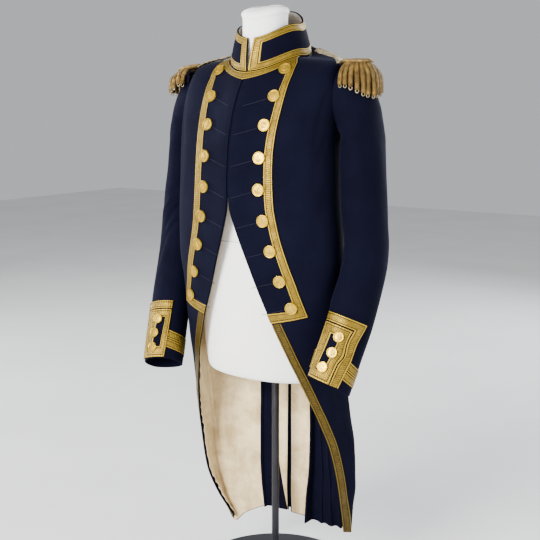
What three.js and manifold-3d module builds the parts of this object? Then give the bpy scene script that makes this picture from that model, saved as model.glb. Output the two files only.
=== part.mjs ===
// Full-dress naval tail coat of dark blue cloth with gold lace and gilt buttons, worn by a plain
// white dress form on a stand. Millimetres; the coat faces -Y, the wearer's left is +X and +Z is up.
// The origin is on the floor, under the stand's pole.
import * as THREE from 'three';
import { mergeVertices } from 'three/addons/utils/BufferGeometryUtils.js';
import Module from 'manifold-3d';

const wasm = await Module();
wasm.setup();

// ---- Driving dimensions ---------------------------------------------------------------------
const CLOTH = 1.6; // wall of the blue cloth
const LINING = 1.2; // wall of a lining
const LACE = 1.0; // wall of a gold lace
const SEAM = 0.3; // gap between pieces that meet or lie on each other
const LINING_GAP = { front: 1.25, back: 0.85 }; // gap between the cloth and its looser lining
const ARMHOLE_GAP = 0.8; // gap between the sleeve head and the armhole it is set in
const LAPEL_LACE = 18; // width of the lace round a lapel and on the collar
const SKIRT_LACE = 20; // width of the lace down a skirt's front edge
const SKIRT_LACE_GAP = 0.7; // gap behind that lace, which lies over the skirt's curve
const LAPEL_LIFT = 16; // how much higher a lapel's bottom is at its outer corner
const BUTTON = { radius: 12.5, height: 3.4, rim: 1.7 };
const CUFF_BUTTON = { radius: 10.5, height: 3.2, rim: 1.5 };
const BUTTON_SIDES = 10;
const COLLAR_WALL = 2.6;
const COLLAR_TRIM = { low: 2.5, edge: 1.5, width: 13.5 }; // heights and widths of the collar's lace
const ARMHOLE = 165; // distance of the armhole from the coat's middle
const PLEAT = { pitch: 6, top: 9, hem: 40, clear: 6 }; // fold spacing and depths in the skirt
const FRINGE = { strands: 14, thick: 7.2, corner: 1.2, root: 0.9, sweep: 96 };
const POLE = { radius: 8, top: 475.6 };
const BASE = { radius: 180, height: 12, bevel: 2 };

const NAVY = { color: 0x161b34, roughness: 0.85, metalness: 0 };
const CREAM = { color: 0xe6d8b8, roughness: 0.8, metalness: 0 };
const GREY = { color: 0x8d8577, roughness: 0.85, metalness: 0 };
const GOLD = { color: 0xb79a45, roughness: 0.5, metalness: 0.6 };
const GILT = { color: 0xd9c272, roughness: 0.35, metalness: 0.9 };
const SILVER = { color: 0xb9ad8a, roughness: 0.5, metalness: 0.6 };
const WHITE = { color: 0xf4f2ea, roughness: 0.7, metalness: 0 };
const IRON = { color: 0x1b1b1d, roughness: 0.5, metalness: 0.5 };

// ---- Sections of the coat -------------------------------------------------------------------
// Each row is one closed section, from the neckline out over the shoulders and down to the hem.
// side, front, back: its height there; half: half its width; frontY, midY, backY: its front,
// widest place and back; square: 2 is an ellipse; ridge: how far the middle of the chest stands
// proud of that; cut: distance of the front edge from the middle; seam: angle of the shoulder and
// side-back seam from the front, in degrees.
const COAT_COLUMNS = ['row', 'side', 'front', 'back', 'half', 'frontY', 'midY', 'backY', 'square',
  'ridge', 'cut', 'seam'];
const COAT_ROWS = [
  [0, 1131, 1100, 1170, 83, -99, -20, 66, 2.05, 5, 0, 99],
  [1, 1127, 1090, 1160, 120, -101, -22, 71, 2.05, 10, 0, 99],
  [2, 1122, 1076, 1147, 150, -106, -24, 76, 2.1, 14, 0, 99],
  [3, 1113, 1055, 1128, 168, -116, -30, 80, 2.2, 16, 0, 99],
  [4, 1090, 1028, 1103, 175, -128, -38, 83, 2.3, 16, 0, 106],
  [5, 1055, 998, 1070, 177, -139, -48, 83, 2.4, 14, 0, 119],
  [6, 1012, 965, 1025, 176, -149, -58, 80, 2.4, 12, 0, 134],
  [7, 965, 930, 972, 175, -155, -66, 74, 2.4, 10, 0, 147],
  [8, 910, 890, 910, 177, -158, -71, 66, 2.35, 10, 0, 157],
  [9, 850, 845, 850, 181, -159, -73, 60, 2.3, 9, 1.5, 163],
  [10, 790, 790, 790, 187, -157, -70, 58, 2.2, 8, 16.5, 164],
  [11, 730, 730, 730, 189, -155, -64, 58, 2.2, 7, 38, 164],
  [12, 670, 670, 670, 185, -151, -55, 60, 2.2, 5, 59.5, 163],
  [13, 612, 612, 612, 185, -147, -45, 60, 2.2, 3, 83, 162],
  [14, 545, 545, 545, 183, -137, -38, 58, 2.2, 0, 108, 162],
  [15, 480, 480, 480, 181, -122, -25, 58, 2.2, 0, 129, 162],
  [16, 400, 400, 400, 183, -107, -5, 58, 2.2, 0, 152, 162],
  [17, 330, 330, 330, 187, -88, 15, 58, 2.2, 0, 164, 162],
  [18, 250, 250, 250, 186, -66, 25, 58, 2.2, 0, 169, 162],
  [19, 190, 190, 190, 175, -42, 36, 57, 2.2, 0, 164, 162],
  [20, 125, 125, 125, 163, 8, 51, 60, 2.2, 0, 154, 162],
];
const RIDGE_WIDTH = 42; // half width of the ridge down the middle of the chest
// The right skirt hangs lower at its front corner and higher at its pleats, and swings inward.
const RIGHT_SKIRT = { from: 15, front: 30, pleats: -14, inward: 12 };
// Outer edge of the lapel: its distance from the middle at each row of the coat.
const LAPEL_COLUMNS = ['row', 'outer'];
const LAPEL_ROWS = [
  [0, 81.8], [1, 96], [2, 97.5], [3, 97.5], [4, 97], [5, 95], [6, 93], [7, 92], [8, 93], [9, 96],
  [10, 104.5], [11, 120], [12, 136], [13, 151],
];
// Rows of the body's wall, between the sections above; the lapel's lace starts and ends on one.
const NECK_BAND = 0.5;
const LAPEL_BAND = 12.68;
const LAPEL_END = 13;
const HEM = 20;
const BODY_ROWS = [0, NECK_BAND, 1.2, 2, 2.6, 3.2, 4, 5, 6, 7, 8, 9, 10, 10.8, 11.5, 12.1, LAPEL_BAND,
  LAPEL_END, 13.8, 15, 16, 17, 18, 18.7, 19.4, HEM];
const LINING_TOP = 8;
// How far, as shares of a cell, a lining stays clear of the front edge, a seam, the vent and the hem.
const LINING_INSET = { front: 0.45, side: 0.86, seam: 0.12, vent: 0.2, hem: 0.1 };
const VENT_SPREAD = { from: 13, width: 3 }; // the vent opens by this much on each side at the hem
const SIDE_CELLS = 7;
const BACK_CELLS = 5;
// How far round the skirt the wall's columns lie between its front edge and its seam.
const SKIRT_SHARES = [0.2, 0.28, 0.36];

// ---- Sections of a sleeve -------------------------------------------------------------------
// The head's sections turn about a point under the arm; deep is how far each reaches from it.
const UNDERARM = { x: 162, z: 965, start: 17 };
const HEAD_COLUMNS = ['row', 'turn', 'deep', 'wide', 'midY'];
const HEAD_ROWS = [
  [0, 0, 132, 54, -14],
  [1, 15, 123, 54, -14],
  [2, 30, 108, 55, -13],
  [3, 45, 91, 57, -12],
  [4, 60, 77, 60, -12],
  [5, 75, 71, 62, -12],
  [6, 90, 70, 62, -11],
];
// Below the head: centre, half its width across and along, and its lean forward in degrees.
const ARM_COLUMNS = ['row', 'x', 'y', 'z', 'across', 'along', 'lean'];
const ARM_ROWS = [
  [6, 214, -11, 965, 35, 62, 0],
  [7, 217, -13, 910, 37, 60, 2],
  [8, 223, -18, 850, 39, 58, 5],
  [9, 228, -23, 800, 40, 55, 8],
  [10, 232, -32, 740, 42, 51, 15],
  [11, 227, -68, 640, 43, 46, 23],
  [12, 216, -102, 560, 43, 43, 22],
  [13, 206, -130, 490, 42, 43, 21],
];
const HEAD_END = 6;
const SLEEVE_END = 13;
const CUFF_ROWS = { top: 11.18, frame: 11.42, ring: 12.2, slot: 12.48, low: 12.75 };
const SLEEVE_ROWS = [0, 1, 2, 3, 4, 5, 6, 7, 8, 9, 10, 10.6, CUFF_ROWS.top, CUFF_ROWS.frame, 11.8,
  CUFF_ROWS.ring, CUFF_ROWS.slot, CUFF_ROWS.low, SLEEVE_END];
// Angles round a sleeve, in degrees: 0 faces out, 90 to the front, 180 to the body.
const FRONT_SEAM = 124;
const BACK_SEAM = 252;
const FLAP = { outer: 12, slotStart: 78, slotEnd: 101, inner: 121 };
const UPPER_ANGLES = [-108, -84, -60, -36, -12, FLAP.outer, 34, 56, FLAP.slotStart, FLAP.slotEnd,
  FLAP.inner, FRONT_SEAM];
const UNDER_ANGLES = [FRONT_SEAM, 148, 174, 200, 226, BACK_SEAM];
const RIGHT_SLEEVE_DROP = 8; // the right sleeve hangs this much lower at its cuff

// ---- Buttons of the lapels and cuffs --------------------------------------------------------
const LAPEL_BUTTONS = [ // height, distance from the middle
  [1099, 77], [1053, 75.5], [998, 68], [937, 65.5], [876.5, 66], [817, 74.5], [758, 88],
  [699.5, 104.5], [646.5, 123.5],
];
const CUFF_BUTTONS = { angle: 78, rows: [11.52, 11.86, 12.24] };

// ---- Collar ---------------------------------------------------------------------------------
const COLLAR_TOP = { half: 64, frontY: -88, midY: -18, backY: 44, front: 1168, side: 1197,
  back: 1228, square: 2.1, opening: 7 };
const COLLAR_BULGE = 2;
const COLLAR_SEAT = { inset: 2.4, lift: 1.3 }; // how the collar stands inside the neckline
const COLLAR_ANGLES = [24, 42, 60, 78, 96, 114, 132, 150, 165];

// ---- Dress form -----------------------------------------------------------------------------
// Sections from its flat bottom up to the shoulders, then the neck and the tilted cap.
const FORM_COLUMNS = ['row', 'side', 'front', 'back', 'half', 'frontY', 'midY', 'backY', 'square'];
const FORM_ROWS = [
  [0, 476, 476, 476, 132, -106, -34, 27, 2.1],
  [1, 480, 480, 480, 139, -112, -34, 30, 2.1],
  [2, 494, 494, 494, 145, -118, -35, 33, 2.1],
  [3, 580, 580, 580, 149, -131, -39, 41, 2.1],
  [4, 680, 680, 680, 146, -136, -46, 46, 2.1],
  [5, 760, 760, 760, 139, -138, -52, 40, 2.1],
  [6, 840, 840, 840, 138, -140, -54, 40, 2.1],
  [7, 920, 910, 920, 145, -142, -52, 48, 2.1],
  [8, 1000, 975, 1000, 151, -138, -44, 60, 2.1],
  [9, 1060, 1015, 1060, 152, -130, -34, 68, 2.2],
  [10, 1096, 1036, 1096, 152, -121, -28, 70, 2.2],
];
// Rows of the coat that the form's shoulders follow, and how far they lie under its surface.
const SHOULDER_ROWS = [[2.1, 2.7], [1.8, 2.7], [1.4, 3], [0.9, 3.8], [0.5, 4.6], [0.15, 5]];
const NECK_ROWS = [
  [0, 1133, 1103, 1165, 72, -94, -22, 54, 2],
  [1, 1139, 1115, 1166, 58, -89, -30, 28, 2],
  [2, 1156, 1143, 1171, 48, -84, -38, 8, 2],
  [3, 1188, 1182, 1193, 46, -83, -38, 7, 2],
  [4, 1214, 1204, 1224, 46, -83, -38, 7, 2],
  [5, 1216, 1205, 1227, 49, -86, -38, 10, 2],
  [6, 1222, 1211, 1233, 49, -86, -38, 10, 2],
  [7, 1230, 1221, 1239, 40, -78, -38, 2, 2],
];
const FORM_SIDES = 26;

// ---- Epaulettes -----------------------------------------------------------------------------
// A strap runs from the collar out and forward to the pad: its middle's angle at both ends.
const STRAP = { start: 0.42, end: 3, from: 124, to: 94, half: 20, lift: 0.7, wall: 2.2 };
const STRAP_STEPS = 5;
// The pad lies nearly level on the left shoulder and follows the slope of the right one.
const PAD = { x: 201, y: -20, long: 33.5, wide: 36, thick: 8, top: { L: 1124, R: 1117.6 },
  slope: { L: 0, R: 0.2 } };
const PAD_RINGS = [[0.95, 0], [1, 3], [0.97, 6.5], [0.8, 8]]; // size as a share and height of each ring
// Lengths at the fringe's ends and its middle, and how far it swings out there and at the back.
const FRINGE_HANG = {
  L: { short: 48, long: 66, flare: 12, rear: 27 },
  R: { short: 36, long: 50, flare: 17, rear: 27 },
};
const FRINGE_STEPS = [0, 0.18, 0.5, 1];
const FRINGE_STRIP = { inner: 0.78, outer: 0.98, height: 5 };

// ---- Curves through tables ------------------------------------------------------------------
const radians = THREE.MathUtils.degToRad;
const lerp = THREE.MathUtils.lerp;

/** A smooth curve through values at knots that never swings past them. */
function smoothCurve(knots, values) {
  const last = knots.length - 1;
  const slopes = [];
  for (let i = 0; i < last; i += 1) {
    slopes.push((values[i + 1] - values[i]) / (knots[i + 1] - knots[i]));
  }
  const tangents = values.map((_, i) => {
    if (i === 0) return slopes[0];
    if (i === last) return slopes[last - 1];
    const product = slopes[i - 1] * slopes[i];
    return product <= 0 ? 0 : 2 * product / (slopes[i - 1] + slopes[i]);
  });
  return (at) => {
    let i = 0;
    while (i < last - 1 && at > knots[i + 1]) i += 1;
    const width = knots[i + 1] - knots[i];
    const s = THREE.MathUtils.clamp((at - knots[i]) / width, 0, 1);
    const start = values[i] * (1 + 2 * s) * (1 - s) ** 2 + tangents[i] * width * s * (1 - s) ** 2;
    const end = values[i + 1] * s * s * (3 - 2 * s) + tangents[i + 1] * width * s * s * (s - 1);
    return start + end;
  };
}

/** One smooth curve for each column of a table; the first column holds the knots. */
function tableCurves(columns, rows) {
  const knots = rows.map((row) => row[0]);
  const curves = {};
  columns.slice(1).forEach((name, index) => {
    curves[name] = smoothCurve(knots, rows.map((row) => row[index + 1]));
  });
  return curves;
}

const coat = tableCurves(COAT_COLUMNS, COAT_ROWS);
const lapelEdge = tableCurves(LAPEL_COLUMNS, LAPEL_ROWS);
const head = tableCurves(HEAD_COLUMNS, HEAD_ROWS);
const arm = tableCurves(ARM_COLUMNS, ARM_ROWS);

/** Point at an angle from the front on a rounded section, drooping at its front and back. */
function sectionPoint(section, degrees, side) {
  const sine = Math.sin(radians(degrees));
  const cosine = Math.cos(radians(degrees));
  const power = 2 / section.square;
  const across = Math.sign(sine) * Math.abs(sine) ** power;
  const depth = Math.abs(cosine) ** power;
  const endY = cosine > 0 ? section.frontY : section.backY;
  const endZ = cosine > 0 ? section.front : section.back;
  return new THREE.Vector3(side * section.half * across,
    lerp(section.midY, endY, depth), lerp(section.side, endZ, cosine * cosine));
}

/** The values of all curves at one row. */
function sectionAt(curves, row) {
  return Object.fromEntries(Object.entries(curves).map(([name, curve]) => [name, curve(row)]));
}

function coatPoint(degrees, row, side) {
  const point = sectionPoint(sectionAt(coat, row), degrees, side);
  if (point.y < 0) point.y -= coat.ridge(row) * Math.exp(-((point.x / RIDGE_WIDTH) ** 2));
  if (side < 0) {
    const hang = THREE.MathUtils.smoothstep(row, RIGHT_SKIRT.from, HEM);
    const share = Math.min(degrees / coat.seam(row), 1);
    point.z -= hang * lerp(RIGHT_SKIRT.front, RIGHT_SKIRT.pleats, share);
    point.x += hang * lerp(RIGHT_SKIRT.inward, 0, share);
  }
  return point;
}

/** Unit normal, facing out, of a surface given by point(across, down). */
function surfaceNormal(point, across, down, side, steps) {
  const along = point(across + steps[0], down).sub(point(across - steps[0], down));
  const below = point(across, down + steps[1]).sub(point(across, down - steps[1]));
  return below.cross(along).multiplyScalar(side).normalize();
}

/** Point of the coat's surface, moved out by a distance. */
function coatOffset(degrees, row, side, out) {
  const inside = THREE.MathUtils.clamp(row, 0.05, HEM - 0.05);
  const normal = surfaceNormal((a, b) => coatPoint(a, b, side), degrees, inside, side, [0.6, 0.05]);
  return coatPoint(degrees, row, side).addScaledVector(normal, out);
}

/** Angle from the front at which a coat section is as far from the middle as x. */
function angleAt(x, row) {
  const share = Math.min(x / coat.half(row), 1);
  return THREE.MathUtils.radToDeg(Math.asin(share ** (coat.square(row) / 2)));
}

/** Angle that a length along the section covers, near an angle of the coat. */
function angleFor(length, degrees, row) {
  const step = coatPoint(degrees + 0.5, row, 1).distanceTo(coatPoint(degrees - 0.5, row, 1));
  return length / step;
}

// ---- Solids from points ---------------------------------------------------------------------
function solidGeometry(points, faces) {
  let volume = 0;
  for (const [a, b, c] of faces) {
    volume += points[a].dot(new THREE.Vector3().crossVectors(points[b], points[c]));
  }
  const facing = volume < 0 ? faces.map(([a, b, c]) => [a, c, b]) : faces;
  const geometry = new THREE.BufferGeometry();
  const values = points.flatMap((point) => point.toArray());
  geometry.setAttribute('position', new THREE.Float32BufferAttribute(values, 3));
  geometry.setIndex(facing.flat());
  geometry.computeVertexNormals();
  return geometry;
}

/** Closed wall between two grids of points; keep tells which of the grid's cells it has. */
function wall(outer, inner, keep = () => true) {
  const rows = outer.length - 1;
  const columns = outer[0].length - 1;
  const points = [];
  const numbers = new Map();
  const faces = [];
  const number = (layer, i, j) => {
    const key = `${layer} ${i} ${j}`;
    if (!numbers.has(key)) {
      numbers.set(key, points.length);
      points.push((layer ? inner : outer)[i][j]);
    }
    return numbers.get(key);
  };
  const has = (i, j) => i >= 0 && j >= 0 && i < rows && j < columns && keep(i, j);
  for (let i = 0; i < rows; i += 1) {
    for (let j = 0; j < columns; j += 1) {
      if (has(i, j)) {
        const corners = [[i, j], [i + 1, j], [i + 1, j + 1], [i, j + 1]];
        const [a, b, c, d] = corners.map((corner) => number(0, ...corner));
        const [e, f, g, h] = corners.map((corner) => number(1, ...corner));
        faces.push([a, b, c], [a, c, d], [e, g, f], [e, h, g]);
        const sides = [[a, b, e, f, i, j - 1], [b, c, f, g, i + 1, j], [c, d, g, h, i, j + 1],
          [d, a, h, e, i - 1, j]];
        for (const [p, q, pIn, qIn, nextI, nextJ] of sides) {
          if (!has(nextI, nextJ)) faces.push([q, p, pIn], [q, pIn, qIn]);
        }
      }
    }
  }
  return solidGeometry(points, faces);
}

/** Closed solid through rings of points, with a flat or domed cap at each end. */
function loft(rings) {
  const count = rings[0].length;
  const points = rings.flat();
  const faces = [];
  for (let i = 0; i < rings.length - 1; i += 1) {
    for (let j = 0; j < count; j += 1) {
      const next = (j + 1) % count;
      const a = i * count + j;
      const b = i * count + next;
      faces.push([a, b, b + count], [a, b + count, a + count]);
    }
  }
  for (const [ring, turned] of [[0, false], [rings.length - 1, true]]) {
    const middle = new THREE.Vector3();
    rings[ring].forEach((point) => middle.addScaledVector(point, 1 / count));
    const centre = points.push(middle) - 1;
    for (let j = 0; j < count; j += 1) {
      const a = ring * count + j;
      const b = ring * count + (j + 1) % count;
      faces.push(turned ? [centre, a, b] : [centre, b, a]);
    }
  }
  return solidGeometry(points, faces);
}

function toManifold(geometry) {
  const bare = geometry.clone();
  bare.deleteAttribute('normal');
  bare.deleteAttribute('uv');
  const merged = mergeVertices(bare, 1e-4);
  return new wasm.Manifold(new wasm.Mesh({
    numProp: 3,
    vertProperties: new Float32Array(merged.attributes.position.array),
    triVerts: new Uint32Array(merged.index.array),
  }));
}

function fromManifold(solid) {
  const mesh = solid.getMesh();
  const geometry = new THREE.BufferGeometry();
  geometry.setAttribute('position', new THREE.BufferAttribute(mesh.vertProperties, mesh.numProp));
  geometry.setIndex(new THREE.BufferAttribute(mesh.triVerts, 1));
  geometry.computeVertexNormals();
  return geometry;
}

/** Each point of a row or column moved part of the way to its neighbour. */
function moveToward(points, others, share) {
  return points.map((point, i) => point.clone().lerp(others[i], share));
}

const model = new THREE.Group();

function add(name, geometry, look) {
  const mesh = new THREE.Mesh(geometry, new THREE.MeshStandardMaterial(look));
  mesh.name = name;
  model.add(mesh);
  return mesh;
}

// ---- Body of the coat -----------------------------------------------------------------------
/** Rises from 0 at start to 1 at peak and falls back to 0 at end. */
function hump(value, start, peak, end) {
  if (value <= start || value >= end) return 0;
  return value < peak ? (value - start) / (peak - start) : (end - value) / (end - peak);
}

/** Angles of the front panel's columns at one row: edge, lapel, lace and side. */
function frontAngles(row) {
  const edge = angleAt(Math.max(coat.cut(row), SEAM / 2), row);
  const seam = coat.seam(row) - angleFor(SEAM / 2, coat.seam(row), row);
  let angles;
  if (row <= LAPEL_END) {
    const outer = angleAt(lapelEdge.outer(row), row);
    const inner = outer - angleFor(LAPEL_LACE, outer - 4, row);
    angles = [edge, lerp(edge, inner, 1 / 3), lerp(edge, inner, 2 / 3), inner, outer];
  } else {
    const shares = SKIRT_SHARES.map((share) => lerp(edge, seam, share));
    angles = [edge, edge + angleFor(SKIRT_LACE, edge, row), ...shares];
  }
  for (let i = 1; i <= SIDE_CELLS; i += 1) {
    angles.push(lerp(angles[4], seam, i / SIDE_CELLS));
  }
  return angles;
}

/** Row of the coat's sections for one point of a wall's row, level with neckline and lapel. */
function rowAt(row, degrees, column) {
  const neckline = 0.95 * hump(row, 0, NECK_BAND, 4) * Math.max(Math.cos(radians(degrees)), 0) ** 8;
  const acrossLapel = column <= 4 ? column / 4 : hump(column, 4, 4, 4 + SIDE_CELLS);
  const corner = LAPEL_LIFT / 58 * hump(row, 9, LAPEL_END, 15.5) * acrossLapel;
  return row + neckline - corner;
}

function frontGrid(side, out) {
  return BODY_ROWS.map((row) => frontAngles(row).map(
    (degrees, column) => coatOffset(degrees, rowAt(row, degrees, column), side, out)));
}

function backGrid(side, out) {
  return BODY_ROWS.map((row) => {
    const seam = coat.seam(row);
    const first = seam + angleFor(SEAM / 2, seam, row);
    const vent = SEAM / 2 + VENT_SPREAD.width * THREE.MathUtils.smoothstep(row, VENT_SPREAD.from, HEM);
    const last = 180 - angleAt(vent, row);
    const points = [];
    for (let i = 0; i <= BACK_CELLS; i += 1) {
      points.push(coatOffset(lerp(first, last, i / BACK_CELLS), row, side, out));
    }
    return points;
  });
}

/** Folds of cloth behind the side-back seam: a square wave in plan that deepens to the hem. */
function pleats(side) {
  const rows = BODY_ROWS.filter((row) => row > LAPEL_END);
  const outer = [];
  const inner = [];
  for (const row of rows) {
    const share = (row - rows[0]) / (HEM - rows[0]);
    const depth = lerp(PLEAT.top, PLEAT.hem, share);
    const seam = coat.seam(row) - angleFor(SEAM / 2, coat.seam(row), row);
    const start = coatPoint(seam, row, side);
    const forward = coatPoint(seam - 1, row, side).sub(coatPoint(seam + 1, row, side)).normalize();
    const inward = coatOffset(seam, row, side, -1).sub(start);
    const half = CLOTH / 2;
    const path = [[half, half]];
    for (let fold = 0; fold < 2; fold += 1) {
      const at = half + fold * 2 * PLEAT.pitch;
      path.push([at, depth], [at + PLEAT.pitch, depth], [at + PLEAT.pitch, PLEAT.clear]);
      if (fold === 0) path.push([at + 2 * PLEAT.pitch, PLEAT.clear]);
    }
    const place = (sign) => path.map(([along, deep], i) => {
      const before = path[Math.max(i - 1, 0)];
      const after = path[Math.min(i + 1, path.length - 1)];
      const turnIn = new THREE.Vector2(along - before[0], deep - before[1]).normalize();
      const turnOut = new THREE.Vector2(after[0] - along, after[1] - deep).normalize();
      const shift = new THREE.Vector2(turnIn.y + turnOut.y, -turnIn.x - turnOut.x);
      const end = i === 0 || i === path.length - 1;
      if (end) shift.normalize();
      return start.clone().addScaledVector(forward, along + sign * half * shift.x)
        .addScaledVector(inward, deep + sign * half * shift.y);
    });
    outer.push(place(1));
    inner.push(place(-1));
  }
  return wall(outer, inner);
}

/** The sleeve head's outside, a little larger, that the armhole is cut with. */
function armholeCutter(side) {
  const rings = [];
  for (let row = 0; row <= 5; row += 0.5) {
    const ring = [];
    for (let degrees = 0; degrees < 360; degrees += 10) {
      const point = sleevePoint(degrees, row, side, ARMHOLE_GAP);
      if (row === 0) point.x = side * (ARMHOLE - SEAM);
      ring.push(point);
    }
    rings.push(ring);
  }
  return toManifold(loft(rings));
}

// ---- Sleeves --------------------------------------------------------------------------------
/** Centre and half axes of a sleeve's section. */
function sleeveSection(row, side) {
  if (row <= HEAD_END) {
    const turn = radians(head.turn(row));
    const reach = new THREE.Vector3(Math.sin(turn), 0, Math.cos(turn));
    const half = head.deep(row) / 2;
    const start = row === 0 ? new THREE.Vector3(ARMHOLE, 0, UNDERARM.z)
      : new THREE.Vector3(UNDERARM.x, 0, UNDERARM.z);
    const centre = start.addScaledVector(reach, UNDERARM.start + half);
    centre.y = head.midY(row);
    return { centre, out: reach.multiplyScalar(half), front: new THREE.Vector3(0, -head.wide(row), 0) };
  }
  const lean = radians(arm.lean(row));
  const drop = side < 0 ? RIGHT_SLEEVE_DROP * THREE.MathUtils.smoothstep(row, 8, SLEEVE_END) : 0;
  const along = arm.along(row);
  return {
    centre: new THREE.Vector3(arm.x(row), arm.y(row), arm.z(row) - drop),
    out: new THREE.Vector3(arm.across(row), 0, 0),
    front: new THREE.Vector3(0, -Math.cos(lean) * along, Math.sin(lean) * along),
  };
}

function sleeveSurface(degrees, row, side) {
  const { centre, out, front } = sleeveSection(row, side);
  const point = centre.addScaledVector(out, Math.cos(radians(degrees)))
    .addScaledVector(front, Math.sin(radians(degrees)));
  point.x *= side;
  return point;
}

/** Point of a sleeve's surface, moved out by a distance. */
function sleevePoint(degrees, row, side, out) {
  const inside = THREE.MathUtils.clamp(row, 0.35, SLEEVE_END - 0.1);
  const surface = (angle, at) => sleeveSurface(angle, at, side);
  const normal = surfaceNormal(surface, degrees, inside, -side, [1, 0.1]);
  const point = sleeveSurface(degrees, row, side).addScaledVector(normal, out);
  if (row === 0) point.x = side * ARMHOLE;
  return point;
}

function sleeveGrid(rows, angles, side, out) {
  return rows.map((row) => angles.map((degrees) => sleevePoint(degrees, row, side, out)));
}

/** The angles with their two ends drawn in by half a seam. */
function seamed(angles) {
  const trim = 0.2;
  return angles.map((degrees, i) => {
    if (i === 0) return degrees + trim;
    return i === angles.length - 1 ? degrees - trim : degrees;
  });
}

function buildSleeve(side, hand) {
  for (const [name, angles] of [['upper_sleeve', UPPER_ANGLES], ['under_sleeve', UNDER_ANGLES]]) {
    const outer = sleeveGrid(SLEEVE_ROWS, seamed(angles), side, 0);
    const inner = sleeveGrid(SLEEVE_ROWS, seamed(angles), side, -CLOTH);
    add(`${name}_${hand}`, wall(outer, inner), NAVY);
  }
}

/** Flap, its lace with a blue slot left open, and the two laces round the rest of the cuff. */
function buildCuff(side, hand) {
  const flapRows = SLEEVE_ROWS.filter((row) => row >= CUFF_ROWS.top && row <= CUFF_ROWS.low);
  const flapAngles = UPPER_ANGLES.filter((angle) => angle >= FLAP.outer && angle <= FLAP.inner);
  const layer = (low, high) => [high, low].map((out) => sleeveGrid(flapRows, flapAngles, side, out));
  const [flapOuter, flapInner] = layer(SEAM, SEAM + CLOTH);
  add(`cuff_flap_${hand}`, wall(flapOuter, flapInner), NAVY);

  const [laceOuter, laceInner] = layer(2 * SEAM + CLOTH, 2 * SEAM + CLOTH + LACE);
  const slotColumn = flapAngles.indexOf(FLAP.slotStart);
  const slotRows = [flapRows.indexOf(CUFF_ROWS.frame), flapRows.indexOf(CUFF_ROWS.slot)];
  const isLace = (i, j) => j !== slotColumn || i < slotRows[0] || i >= slotRows[1];
  add(`cuff_lace_${hand}`, wall(laceOuter, laceInner, isLace), GOLD);

  const ringRows = flapRows.filter((row) => row >= CUFF_ROWS.ring);
  const aroundBack = [...UNDER_ANGLES, ...UPPER_ANGLES.slice(1).map((angle) => angle + 360)]
    .filter((angle) => angle <= FLAP.outer + 360);
  const trimmed = aroundBack.map((angle, i) => (i === aroundBack.length - 1 ? angle - 2 : angle));
  const ringOuter = sleeveGrid(ringRows, trimmed, side, SEAM + 0.1 + LACE);
  const ringInner = sleeveGrid(ringRows, trimmed, side, SEAM + 0.1);
  add(`cuff_ring_${hand}`, wall(ringOuter, ringInner), GOLD);
}

// ---- Assembling the body --------------------------------------------------------------------
function buildBody(side, hand) {
  const cutter = armholeCutter(side);
  const front = toManifold(wall(frontGrid(side, 0), frontGrid(side, -CLOTH)));
  const folded = front.add(toManifold(pleats(side)));
  add(`front_${hand}`, fromManifold(folded.subtract(cutter)), NAVY);
  const back = toManifold(wall(backGrid(side, 0), backGrid(side, -CLOTH)));
  add(`back_${hand}`, fromManifold(back.subtract(cutter)), NAVY);
}

/** Drops rows above the lining, and moves its hem and both sides in from the cloth's edges. */
function liningGrid(grid, firstShare, lastShare, columns) {
  const rows = grid.slice(BODY_ROWS.indexOf(LINING_TOP));
  const hem = rows.length - 1;
  rows[hem] = moveToward(rows[hem], rows[hem - 1], LINING_INSET.hem);
  return rows.map((points) => {
    const moved = [...points];
    const last = points.length - 1;
    moved[0] = points[0].clone().lerp(points[1], firstShare);
    moved[last] = points[last].clone().lerp(points[last - 1], lastShare);
    return columns.map((column) => moved[column]);
  });
}

function buildLinings(side, hand) {
  const frontColumns = [0, 1, 2, 4, 6, 8, 10, 11];
  const backColumns = [0, 2, 3, 5];
  const frontFace = -CLOTH - LINING_GAP.front;
  const front = [frontFace, frontFace - LINING].map(
    (out) => liningGrid(frontGrid(side, out), LINING_INSET.front, LINING_INSET.side, frontColumns));
  add(`lining_front_${hand}`, wall(...front), CREAM);
  const backFace = -CLOTH - LINING_GAP.back;
  const back = [backFace, backFace - LINING].map(
    (out) => liningGrid(backGrid(side, out), LINING_INSET.seam, LINING_INSET.vent, backColumns));
  add(`lining_back_${hand}`, wall(...back), CREAM);
}

function buildLapel(side, hand) {
  const end = BODY_ROWS.indexOf(LAPEL_END);
  const cut = (out) => frontGrid(side, out).slice(0, end + 1).map((points) => points.slice(0, 5));
  add(`lapel_${hand}`, wall(cut(SEAM + CLOTH), cut(SEAM)), NAVY);

  const band = BODY_ROWS.indexOf(LAPEL_BAND);
  const isLace = (i, j) => i === 0 || i >= band || j === 3;
  const under = 2 * SEAM + CLOTH;
  add(`lapel_lace_${hand}`, wall(cut(under + LACE), cut(under), isLace), GOLD);
}

function buildSkirtLace(side, hand) {
  const start = BODY_ROWS.indexOf(LAPEL_END);
  const strip = (out) => {
    const rows = frontGrid(side, out).slice(start).map((points) => points.slice(0, 2));
    rows[0] = moveToward(rows[0], rows[1], 0.04);
    return rows;
  };
  add(`skirt_lace_${hand}`, wall(strip(SKIRT_LACE_GAP + LACE), strip(SKIRT_LACE_GAP)), GOLD);
}

// ---- Buttons --------------------------------------------------------------------------------
/** Flat button with a raised rim; its back lies in the plane z = 0. */
function buttonGeometry({ radius, height, rim }) {
  const profile = [[0, 0], [radius, 0], [radius, height * 0.7], [radius - rim, height],
    [0, height * 0.85]].map(([r, z]) => new THREE.Vector2(r, z));
  const lathe = new THREE.LatheGeometry(profile, BUTTON_SIDES);
  lathe.rotateX(Math.PI / 2);
  return fromManifold(toManifold(lathe));
}

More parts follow.
